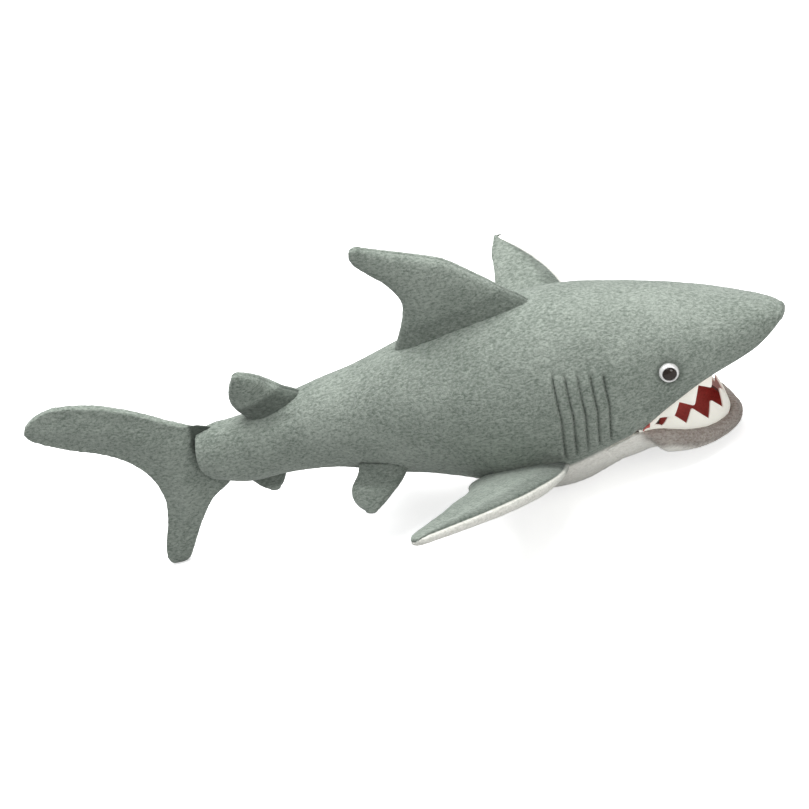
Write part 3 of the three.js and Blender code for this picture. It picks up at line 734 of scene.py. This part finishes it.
def makeJawCover():
    backX = np.linspace(jaw["throatBack"], jaw["span"][0], jaw["throatColumns"], endpoint=False)
    half = []
    for x in backX:
        section = throatSection(x)
        weight = float(smoothStep(x, *jaw["merge"]))
        half.append(section + (jawSection(x, 54.0) - section) * weight)
    for x, y in jawOutline():
        section = jawSection(x, y, 1.2)
        weight = float(smoothStep(x, *jaw["merge"]))
        if weight < 1:
            throat = throatSection(x)
            section = throat + (section - throat) * weight
        half.append(section)
    rings = bothSides(np.array(half))
    faces = gridFaces(len(rings), rings.shape[1], False).tolist()
    piece = makeDrawn("jaw_cover", rings.reshape(-1, 3), faces, lipPlush)
    mendMesh(piece, 0.0001, fill=True)
    return piece


jawCover = makeJawCover()
points, normals = drawnPoints(jawCover)
x, y, z = points.T
belowLip = valueAt(jaw["sections"], 1, alongJaw(x)) - z
lipTone = (1 - smoothStep(belowLip + 2.5 * softNoise(points / 9, 5), 9, 21)) * smoothStep(x, 199, 211)
lipTone = np.maximum(lipTone, 0.75 * smoothStep(x, 262, 274))
setTone(jawCover, lipTone)
offset = lumpOffset(points, 0.8) + pileOffset(points, jaw["pileHeight"])
offset -= 1.6 * bump(x - jaw["throatBack"], 2.5)
offset -= 1.5 * bump(x - 209 + 0.12 * (z - 30), 3.5) * (z < 45)
pushOut(jawCover, points, normals, offset)
print("jaw cover:", len(jawCover.data.polygons), "faces")


def makeJawLining():
    left = np.array([jawSection(x, y)[jaw["liningFrom"]:] for x, y in jawOutline()])
    left[:, :, 2] += 0.2
    rings = bothSides(left)
    faces = gridFaces(len(rings), rings.shape[1], False).tolist()
    piece = makeDrawn("jaw_lining_cloth", rings.reshape(-1, 3), faces, redCloth)
    mendMesh(piece, 0.0001, outward=False)
    thicken(piece, 0.0009)
    return piece


jawLining = makeJawLining()


def makeMouthRoof():
    # the red lining: up the back of the mouth, then forward under the upper jaw
    back = [(206.6, z) for z in np.linspace(36, 50, 8)]
    turnUp = [(206.6 + 9 * (1 - math.cos(t)), 50 + 9 * math.sin(t))
              for t in np.linspace(0, math.pi / 2, 8)[1:]]
    ahead = np.linspace(216, body["palateFront"], 40)
    columns = 41
    across = np.linspace(-1, 1, columns)
    rows = []
    for x, z in back + turnUp:
        half = 38.2 + (z - 36) * 0.86
        arch = float(roofHeight(207.0, 0) - 59) * max(0, (z - 50) / 9)
        rows.append([(x, half * s, z + arch * (1 - s * s)) for s in across])
    for x in ahead:
        half = float(lipHalfWidth(x)) - 1.2
        heights = roofHeight(np.full(columns, x), half * across)
        rows.append([(x, half * s, h + 0.4) for s, h in zip(across, heights)])
    grid = np.array(rows)
    faces = gridFaces(len(grid), columns, False).tolist()
    piece = makeDrawn("mouth_roof_cloth", grid.reshape(-1, 3), faces, redCloth)
    thicken(piece, 0.001)
    return piece


mouthRoof = makeMouthRoof()
print("mouth linings made")

# felt teeth

teeth = {
    "felt": 1.6, "softEdge": 0.3,
    "cornerHeight": 4.5,
    "cornerShare": 0.24,
    "upper": [(203.5, -53.6), (218, -50), (240, -45.5), (260, -40.5), (270, -32), (276, -21), (278.5, -10),
              (279, 0)],
    "lower": [(203, -51.5), (215, -46.5), (232, -40.5), (247, -33), (258.5, -23), (265, -11), (266.7, 0)],
    "upperSizes": {"count": 10, "band": 3.5, "tall": 13},
    "lowerSizes": {"count": 9, "band": 8.5, "tall": 15},
}


def evenPath(half, count):
    # evenly spaced points along a path mirrored about the middle, with the directions into the mouth
    where = evenAlong(half + [(x, -y) for x, y in half[:-1][::-1]], count)
    along = np.gradient(where, axis=0)
    along /= np.linalg.norm(along, axis=1)[:, None]
    return where, np.column_stack([-along[:, 1], along[:, 0]])


def makeTeeth(name, half, sizes, lift, grow):
    perTooth = 16
    count = sizes["count"] * perTooth + 1
    where, inward = evenPath(half, count)
    u = np.linspace(0, 1, count)
    full = smoothStep(np.minimum(u, 1 - u), 0, teeth["cornerShare"])
    phase = (u * sizes["count"]) % 1
    zigzag = 1 - np.abs(2 * phase - 1)
    zigzag = np.minimum(zigzag, 0.93) + 0.02 * np.sin(phase * math.pi)
    height = teeth["cornerHeight"] + (sizes["band"] + zigzag * sizes["tall"] - teeth["cornerHeight"]) * full
    rows = 9
    around = 2 * rows
    sheets = []
    for depth in (0.0, teeth["felt"]):
        grid = np.empty((count, rows, 3))
        for k, v in enumerate(np.linspace(0, 1, rows)):
            bow = 0.9 * np.sin(v * math.pi) * zigzag - 0.5 * v * zigzag
            spot = where + inward * (depth - bow)[:, None]
            grid[:, k, 0:2] = spot
            grid[:, k, 2] = lift(where[:, 0]) + grow * v * height
        sheets.append(grid)
    front, back = sheets
    points = np.concatenate([front, back[:, ::-1]], 1).reshape(-1, 3)
    faces = gridFaces(count, around, True).tolist()
    faces.append(list(range(around))[::-1])
    faces.append([(count - 1) * around + k for k in range(around)])
    piece = makeDrawn(name, points, faces, glowingWhiteFelt)
    mendMesh(piece)
    addModifier(piece, "soft edge", "BEVEL", width=teeth["softEdge"] * mm, segments=2, limit_method="ANGLE",
                angle_limit=math.radians(50))
    settle(piece)
    return piece


upperTeeth = makeTeeth("upper_teeth_felt", teeth["upper"], teeth["upperSizes"],
                       lambda x: edgeHeight(x) - 0.3, -1)
lowerTeeth = makeTeeth("lower_teeth_felt", teeth["lower"], teeth["lowerSizes"],
                       lambda x: valueAt(jaw["sections"], 1, alongJaw(x)) - 3.2, 1)

# eyes


def makeTurned(name, profile, place, material, steps=64):
    # a turned part: radius and height in millimetres, its axis pointing out of the head
    profile = np.array(profile, float)
    turns = np.arange(steps) / steps * 2 * math.pi
    rings = [[(r * math.cos(t), r * math.sin(t), h) for t in turns] for r, h in profile]
    faces = gridFaces(len(profile), steps, True).tolist()
    local = np.array(rings).reshape(-1, 3) * mm
    turned = np.array([place @ Vector(p) for p in local])
    piece = makeObject(name, turned, faces, material)
    mendMesh(piece)
    return piece


def domeProfile(radius, base, rise, count=12):
    turns = np.linspace(0, math.pi / 2, count)
    return [(radius * math.cos(t), base + rise * math.sin(t)) for t in turns]


sides = {"right": -1, "left": 1}
eyePieces = {}
for word, side in sides.items():
    place = eyeFrame(side)
    r = eyes["radius"]
    ring = [(0.001, -4), (r - 0.8, -4), (r, -3), (r, -0.6)]
    lip = eyes["pupil"] + 0.5
    ring += [(lip + (r - lip) * math.cos(t), -0.6 + 3.7 * math.sin(t)) for t in np.linspace(0.1, 1.57, 10)]
    ring += [(lip - 0.3, 2.7), (lip - 0.5, 1.8), (0.001, 1.6)]
    disc = makeTurned(f"eye_{word}_disc", ring, place, silverPlastic)
    bead = [(0.001, 1.65), (eyes["pupil"], 1.65)] + domeProfile(eyes["pupil"], 2.1, 2.7)
    dome = makeTurned(f"eye_{word}_pupil", bead, place, darkPlastic)
    eyePieces[word] = (disc, dome)
print("teeth and eyes made")

# fins

# each fin's root value is painted shade where the fin meets the body
finLooks = {
    "dorsal_fin": {
        "place": (77, 0, 182.4), "angles": (0, -8.4, 0), "thick": 24, "bead": 10,
        "root": -20, "lean": 0, "rootPaintedShade": 0.25,
        "seed": 1, "spacing": 1.5, "meets": (-9, 16),
        "outline": [(-24, 68, -74), (-9, 60, -62), (0, 53, -54), (15, 44, -42), (29, 35, -35), (50, 20, -38),
                    (64, 2, -45.5), (77, -17, -52), (86, -30, -53), (91, -38, -50.5)],
    },
    "second_dorsal": {
        "place": (-110, 0, 144.4), "angles": (0, -12.2, 0), "thick": 26, "bead": 10,
        "root": -16, "lean": -0.36, "rootPaintedShade": 0.6,
        "seed": 2, "spacing": 1.3, "meets": (-7, 9),
        "outline": [(-18, 30, -27), (-8, 26, -27), (0, 18, -30), (12, 11, -29), (23, 9, -23), (32, 5, -16),
                    (38, 0, -9)],
    },
    "anal_fin": {
        "place": (-140, 0, 60.4), "angles": (180, 1, 0), "thick": 13, "bead": 6,
        "root": -14, "lean": 0, "rootPaintedShade": 0.4,
        "seed": 3, "spacing": 1.3,
        "outline": [(-16, 19, -19), (-6, 17, -17), (0, 14, -13), (5, 10, -9), (9, 6, -5)],
    },
    "pectoral": {
        "place": (92, 72, 48), "angles": (21, -2.4, 8.3), "thick": 23, "bead": 8.5,
        "root": -22, "lean": 0, "wrap": 3.2,
        "paleShare": 0.82, "rootPaintedShade": 0.4,
        "swept": {-1: (-9, -9, 3), 1: (1, 13, 0)},   # front, rear and lift at the tip, on each side
        "seed": 4, "spacing": 1.5, "meets": (-10, 16),
        "outline": [(-24, 40, -40), (-7.5, 46, -47), (0, 48, -47), (16, 50, -40), (35, 49, -35), (68, 43, -33),
                    (98, 32, -30), (121, 18, -30), (140, 3, -31), (152, -9, -27)],
    },
    "pelvic": {
        "place": (-26, 42.5, 58.5), "angles": (-62, 10, 8), "thick": 14, "bead": 6,
        "root": -16, "lean": 0, "rootPaintedShade": 0.4,
        "seed": 6, "spacing": 1.3, "meets": (-6, 8),
        "outline": [(-16, 19, -26), (-6, 15, -28), (4, 8, -33), (12, 1, -34), (19, -5, -31), (23, -9, -27),
                    (25.5, -12, -23)],
    },
}


def finPlace(look, side=0):
    lean, pitch, yaw = (math.radians(v) for v in look["angles"])
    x, y, z = look["place"]
    if side:
        lean = -side * (math.pi / 2 - lean)
        yaw *= side
        y *= side
    turned = Matrix.Rotation(yaw, 4, "Z") @ Matrix.Rotation(pitch, 4, "Y") @ Matrix.Rotation(lean, 4, "X")
    return Matrix.Translation(toFrame(x, y, z)) @ turned


def makeFin(name, look, side=0):
    # a pectoral's underside is pale, and it has its wrap in its own dictionary
    outline, spacing, seed = look["outline"], look["spacing"], look["seed"]
    tip = outline[-1][0]
    spans = np.arange(look["root"], tip, spacing)
    around = int(max(row[1] - row[2] for row in outline) * 2.15 / spacing / 2) * 2
    turns = np.arange(around) / around * 2 * math.pi
    rings = [finRing(look, span, turns, 1.0) for span in (*spans, tip)]
    tipHalf = (outline[-1][1] - outline[-1][2]) / 2
    for t in np.linspace(0, math.pi / 2, 7)[1:-1]:
        ring = finRing(look, tip, turns, math.cos(t))
        ring[:, 2] += min(tipHalf * 0.55, 7) * math.sin(t)
        rings.append(ring)
    pole = finRing(look, tip, turns, 0.0)[0] + [0, 0, min(tipHalf * 0.55, 7)]
    rootPole = finRing(look, spans[0], turns, 0.0)[0]
    grid = np.array(rings)
    local, faces = tubeMesh(grid, rootPole, pole)
    turnOf, frontEdge = (np.append(np.tile(values, len(grid)), [0, 0]) for values in (turns, np.cos(turns)))
    if look["lean"]:
        local[:, 1] += look["lean"] * np.maximum(local[:, 2], 0) * smoothStep(local[:, 2], 0, 25)
    if "swept" in look:
        front, rear, lift = look["swept"][side]
        share = smoothStep(local[:, 2], 15, tip)
        local[:, 0] += share * (rear + (front - rear) * (frontEdge + 1) / 2)
        local[:, 1] -= share * lift * side
    placeArray = np.array(finPlace(look, side))
    world = (local * mm) @ placeArray[:3, :3].T + placeArray[:3, 3]
    piece = makeObject(name, world, faces, greyPlush)
    # tone follows the panels, and the edge seam pulls in where they meet
    thick = np.concatenate([np.repeat([np.ptp(ring[:, 1]) / 2 for ring in grid], around), [1, 1]])
    fromSeam = np.sign(np.sin(turnOf)) * np.abs(np.sin(turnOf)) ** 0.8 * thick
    tone = np.zeros(len(local))
    if "wrap" in look:
        # the pale panel wraps a little way over the front edge
        fromSeam = fromSeam * side + look["wrap"] * smoothStep(np.cos(turnOf), 0.2, 0.9)
        tone = smoothStep(fromSeam, -0.7, 0.7) * look["paleShare"]
    setTone(piece, tone)
    spanOf = local[:, 2]
    # painted shade near the root where the fin meets the body, along the edge seam and, on a pectoral, on the
    # grey top by the front edge
    paintedFoldShade = look["rootPaintedShade"] * (1 - smoothStep(spanOf, 1, 8)) + 0.22 * bump(fromSeam, 1.2)
    if "wrap" in look:
        paintedFoldShade += 0.4 * smoothStep(frontEdge, 0.35, 0.75) * (tone < 0.2)
    setPaintedShade(piece, paintedFoldShade)
    mendMesh(piece, 0, recalculate=False)
    points, normals = drawnPoints(piece)
    offset = lumpOffset(points + seed * 40, 0.9) + pileOffset(points, body["pileHeight"], 3 + seed)
    offset -= 0.9 * bump(fromSeam, 1.1)
    pushOut(piece, points, normals, offset)
    return piece


def finRing(look, span, turns, share):
    outline = look["outline"]
    along = min(max(span / outline[-1][0], 0), 1)
    swollen = look["bead"] + (look["thick"] / 2 - look["bead"]) * float(smoothStep(along, 0, 0.3))
    crown = swollen * (1 - 0.6 * along**2)
    front, rear = (float(valueAt(outline, k, span)) for k in (1, 2))
    edge = np.sign(np.cos(turns)) * np.abs(np.cos(turns)) ** 0.9
    swell = np.sign(np.sin(turns)) * np.abs(np.sin(turns)) ** 0.8
    half = (front - rear) / 2 * share
    height = np.full(len(turns), float(span))
    return np.column_stack([(front + rear) / 2 + half * edge, crown * share * swell, height])


dorsalCover = makeFin("dorsal_fin_cover", finLooks["dorsal_fin"])
secondCover = makeFin("second_dorsal_cover", finLooks["second_dorsal"])
analCover = makeFin("anal_fin_cover", finLooks["anal_fin"])
pairedCovers = {word: [makeFin(f"{kind}_{word}_cover", finLooks[kind], side) for kind in ("pectoral", "pelvic")]
                for word, side in sides.items()}
print("fins made")

# tail fin

tailLook = {
    "outline": [
        (-168, 122), (-177, 129), (-188, 132.5), (-202, 140), (-223, 155), (-256, 173), (-290, 182),
        (-311, 178), (-324, 168), (-320, 158), (-297, 143), (-264, 127), (-245, 109), (-235, 90),
        (-233, 68), (-241, 44), (-250, 24),
        (-255, 8), (-251, 0), (-242, 2), (-219, 32), (-205, 49), (-193, 60), (-176, 70), (-166, 78),
        (-164, 100),
    ],
    "thick": 13,
    "grow": 2.0,                     # the softening takes this much off the edge again
    "voxel": 2.0,
}


def closedCurve(points, steps):
    # a smooth closed curve through points in the plane
    p = np.array(points, float)
    made = []
    for i in range(len(p)):
        a, b, c, d = (p[(i + k - 1) % len(p)] for k in range(4))
        for t in np.arange(steps) / steps:
            bend = (2 * a - 5 * b + 4 * c - d) * t**2 + (3 * b - a - 3 * c + d) * t**3
            made.append(0.5 * (2 * b + (c - a) * t + bend))
    return np.array(made)


def makeTailFin():
    outline = closedCurve(tailLook["outline"], 8)
    along = np.roll(outline, -1, 0) - np.roll(outline, 1, 0)
    along /= np.linalg.norm(along, axis=1)[:, None]
    outline = outline + np.column_stack([along[:, 1], -along[:, 0]]) * tailLook["grow"]
    half = tailLook["thick"] / 2 - 0.4
    count = len(outline)
    low = np.column_stack([outline[:, 0], np.full(count, -half), outline[:, 1]])
    high = np.column_stack([outline[:, 0], np.full(count, half), outline[:, 1]])
    points = np.concatenate([low, high])
    points[:, 2] = np.maximum(points[:, 2], 0.8)
    faces = [[i, (i + 1) % count, count + (i + 1) % count, count + i] for i in range(count)]
    faces += [list(range(count))[::-1], list(range(count, 2 * count))]
    piece = makeDrawn("tail_fin_cover", points, faces, greyPlush)
    mendMesh(piece)
    addModifier(piece, "even", "REMESH", mode="VOXEL", voxel_size=tailLook["voxel"] * mm)
    addModifier(piece, "soften", "SMOOTH", factor=0.5, iterations=9)
    addModifier(piece, "finer", "SUBSURF", levels=1, render_levels=1)
    settle(piece)
    piece.data.materials.clear()
    piece.data.materials.append(greyPlush)
    points, normals = drawnPoints(piece)
    flat = points[:, [0, 2]]
    distance = np.full(len(points), 1e9)
    for start in range(0, len(points), 20000):
        block = flat[start:start + 20000]
        distance[start:start + 20000] = np.min(
            np.linalg.norm(block[:, None] - outline[None, ::2], axis=2), axis=1)
    points[:, 1] *= 0.62 + 0.62 * smoothStep(distance, 0, 26)
    points[:, 1] *= 1 - 0.72 * smoothStep(points[:, 0] - stockEndX(points[:, 2]), -13, -1)
    setPoints(piece, points)
    points, normals = drawnPoints(piece)
    offset = lumpOffset(points, 0.9, 31) + pileOffset(points, body["pileHeight"], 8)
    pushOut(piece, points, normals, offset)
    setTone(piece, np.zeros(len(points)))
    # painted shade on the tail fin where it goes into the tail stock
    setPaintedShade(piece, 0.8 * smoothStep(points[:, 0] - stockEndX(points[:, 2]), -7.5, -3.5))
    return piece


tailCover = makeTailFin()
print("tail fin:", len(tailCover.data.polygons), "faces")

# stitches along the gill tucks

stitchLook = {"spacing": 0.0042, "length": 2.0, "radius": 0.32}


def stitchTree():
    # lays one short stitch at every step along each line
    tree, given, made = makeGroup(
        "stitchesAlongLine", "GeometryNodeTree",
        [("Geometry", "NodeSocketGeometry", None), ("Spacing", "NodeSocketFloat", 0.004),
         ("Stitch Length", "NodeSocketFloat", 0.002), ("Thread Radius", "NodeSocketFloat", 0.0003)],
        [("Geometry", "NodeSocketGeometry")],
    )
    want = given.outputs
    lines = addNode(tree, "GeometryNodeMeshToCurve", {0: want["Geometry"]})
    spaced = addNode(tree, "GeometryNodeResampleCurve",
                     {"Curve": lines.outputs[0], "Length": want["Spacing"]}, mode="LENGTH")
    stitch = addNode(tree, "GeometryNodeMeshUVSphere", {"Segments": 6, "Rings": 5, "Radius": 1})
    tangent = addNode(tree, "GeometryNodeInputTangent")
    turned = addNode(tree, "FunctionNodeAlignRotationToVector", {"Vector": tangent.outputs[0]}, axis="Z")
    halfLength = mathNode(tree, "MULTIPLY", want["Stitch Length"], 0.5)
    size = addNode(tree, "ShaderNodeCombineXYZ",
                   {0: want["Thread Radius"], 1: want["Thread Radius"], 2: halfLength})
    placed = addNode(tree, "GeometryNodeInstanceOnPoints",
                     {"Points": spaced.outputs[0], "Instance": stitch.outputs["Mesh"],
                      "Rotation": turned.outputs[0], "Scale": size.outputs[0]})
    real = addNode(tree, "GeometryNodeRealizeInstances", {0: placed.outputs[0]})
    finish = addNode(tree, "GeometryNodeSetMaterial", {"Geometry": real.outputs[0], "Material": threadMaterial})
    tree.links.new(finish.outputs[0], made.inputs[0])
    return tree


def setInput(modifier, label, value):
    for item in modifier.node_group.interface.items_tree:
        if item.name == label and item.in_out == "INPUT":
            modifier[item.identifier] = value


def makeStitches():
    points, edges = [], []
    for side in (-1, 1):
        for k in range(gills["count"]):
            low, high = gillSpan(k)
            first = len(points)
            for z in np.linspace(low + 5, high - 4, 40):
                x = float(gillLine(k, z))
                points.append(bodyPoint(x, side * float(turnAtHeight(x, z)), gills["depth"] - 0.5))
            edges += [(i, i + 1) for i in range(first, len(points) - 1)]
    mesh = bpy.data.meshes.new("gill_stitches")
    mesh.from_pydata(((np.array(points) + [shiftX, 0, 0]) * mm).tolist(), edges, [])
    piece = addObject("gill_stitches", mesh)
    sewing = addModifier(piece, "stitches", "NODES", node_group=stitchTree())
    setInput(sewing, "Spacing", stitchLook["spacing"])
    setInput(sewing, "Stitch Length", stitchLook["length"] * mm)
    setInput(sewing, "Thread Radius", stitchLook["radius"] * mm)
    settle(piece)
    return piece


gillStitches = makeStitches()
print("gill stitches:", len(gillStitches.data.polygons), "faces")

# joining the pieces to the frame

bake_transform(bodyCover)
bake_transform(jawCover)
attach(jawLining, "lower_jaw")
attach(lowerTeeth, "lower_jaw")
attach(mouthRoof, "trunk")
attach(upperTeeth, "trunk")
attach(gillStitches, "trunk")
for disc, dome in eyePieces.values():
    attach(disc, "trunk")
    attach(dome, "trunk")
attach(analCover, "tail_stock")
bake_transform(tailCover)


def blendFin(piece, look, side=0):
    start, end = (finPlace(look, side) @ Vector((0, 0, reach * mm)) for reach in look["meets"])
    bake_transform(piece)


blendFin(dorsalCover, finLooks["dorsal_fin"])
blendFin(secondCover, finLooks["second_dorsal"])
for word, side in sides.items():
    for kind, piece in zip(("pectoral", "pelvic"), pairedCovers[word]):
        blendFin(piece, finLooks[kind], side)

replaced = [
    (bodyCover, ["side_skin_right", "side_skin_left", "belly_panel", "trunk_filling", "snout_filling",
                 "snout_underside", "tail_stock_skin_right", "tail_stock_skin_left", "tail_stock_filling"]),
    (jawCover, ["jaw_skin", "jaw_filling"]),
    (jawLining, ["jaw_lining"]),
    (mouthRoof, ["palate_lining"]),
    (upperTeeth, ["upper_teeth"]),
    (lowerTeeth, ["lower_teeth"]),
]
for piece, stem in ((dorsalCover, "dorsal_fin"), (secondCover, "second_dorsal"), (analCover, "anal_fin"),
                    (tailCover, "tail_fin")):
    replaced.append((piece, [f"{stem}_{part}" for part in ("left", "right", "filling")]))
for word in sides:
    wide, small = pairedCovers[word]
    disc, dome = eyePieces[word]
    replaced += [
        (wide, [f"pectoral_{word}_{part}" for part in ("top", "underside", "filling")]),
        (small, [f"pelvic_{word}_{part}" for part in ("outer", "inner", "filling")]),
        (disc, [f"eye_disc_{word}", f"eye_washer_{word}"]),
        (dome, [f"eye_pupil_{word}"]),
    ]
for piece, nodes in replaced:
    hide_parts(*nodes)
softFills = [(bodyCover, 0.75), (jawCover, 0.65), (dorsalCover, 0.6), (secondCover, 0.7), (analCover, 0.5),
             (tailCover, 0.4)]
softFills += [(pairedCovers[word][k], fill) for k, fill in ((0, 0.6), (1, 0.5)) for word in sides]

# floor, light and camera

studio = {
    "floor": (0.93, 0.93, 0.93),
    "floorReach": 60,
    "azimuth": 22, "elevation": 32, "roll": 25.88,
    "distance": 20.0, "width": 0.6877,
    "target": (-0.0134, 0, 0.102),
    "floorBounce": (0.50, 0.50, 0.50), "floorGlow": 0.6,
    "world": 0.42,
    "overhead": 54, "front": 12,
}

floorMaterial, floorTree, floorShader = principled("studio_floor", 0.8, **{"Emission Color": (1, 1, 1, 1)})
# a pale floor that throws less light back up than it shows
toCamera = addNode(floorTree, "ShaderNodeLightPath").outputs["Is Camera Ray"]
shown = mixColours(floorTree, toCamera, studio["floorBounce"], studio["floor"])
glow = mathNode(floorTree, "MULTIPLY", toCamera, studio["floorGlow"])
floorTree.links.new(shown, floorShader.inputs["Base Color"])
floorTree.links.new(glow, floorShader.inputs["Emission Strength"])
floorMesh = bpy.data.meshes.new("studio_floor")
reach = studio["floorReach"]
floorMesh.from_pydata([(i * reach, j * reach, 0) for i, j in ((-1, -1), (1, -1), (1, 1), (-1, 1))],
                      [], [(0, 1, 2, 3)])
floorMesh.materials.append(floorMaterial)
floor = addObject("studio_floor", floorMesh)

world = bpy.data.worlds.new("studio")
bpy.context.scene.world = world
world.use_nodes = True
sky = world.node_tree.nodes["Background"]
sky.inputs[0].default_value, sky.inputs[1].default_value = (0.97, 0.985, 1, 1), studio["world"]


def areaLight(name, where, aim, size, power, colour=(1, 1, 1)):
    light = bpy.data.lights.new(name, "AREA")
    light.energy, light.size, light.color = power, size, colour
    lamp = addObject(name, light)
    lamp.location = where
    lamp.rotation_euler = (Vector(aim) - Vector(where)).to_track_quat("-Z", "Y").to_euler()


areaLight("overhead", (0.05, 0.30, 1.8), (0, 0, 0.1), 1.9, studio["overhead"])
areaLight("front", (1.7, -1.3, 0.7), (0.1, 0, 0.08), 1.0, studio["front"], (1, 0.985, 0.965))

azimuth, elevation, roll = (math.radians(studio[k]) for k in ("azimuth", "elevation", "roll"))
right = Vector((math.cos(azimuth), math.sin(azimuth), 0))
up = Vector((-math.sin(azimuth) * math.sin(elevation), math.cos(azimuth) * math.sin(elevation),
             math.cos(elevation)))
back = Vector((math.sin(azimuth) * math.cos(elevation), -math.cos(azimuth) * math.cos(elevation),
               math.sin(elevation)))
cameraX = math.cos(roll) * right - math.sin(roll) * up
cameraY = math.sin(roll) * right + math.cos(roll) * up
cameraData = bpy.data.cameras.new("camera")
cameraData.sensor_width = 36
cameraData.lens = 36 * studio["distance"] / studio["width"]
camera = addObject("camera", cameraData)
camera.matrix_world = Matrix.Translation(Vector(studio["target"]) + back * studio["distance"]) @ Matrix(
    (cameraX, cameraY, back)).transposed().to_4x4()
bpy.context.scene.camera = camera
bpy.context.scene.view_settings.view_transform = "Standard"
bpy.context.view_layer.update()
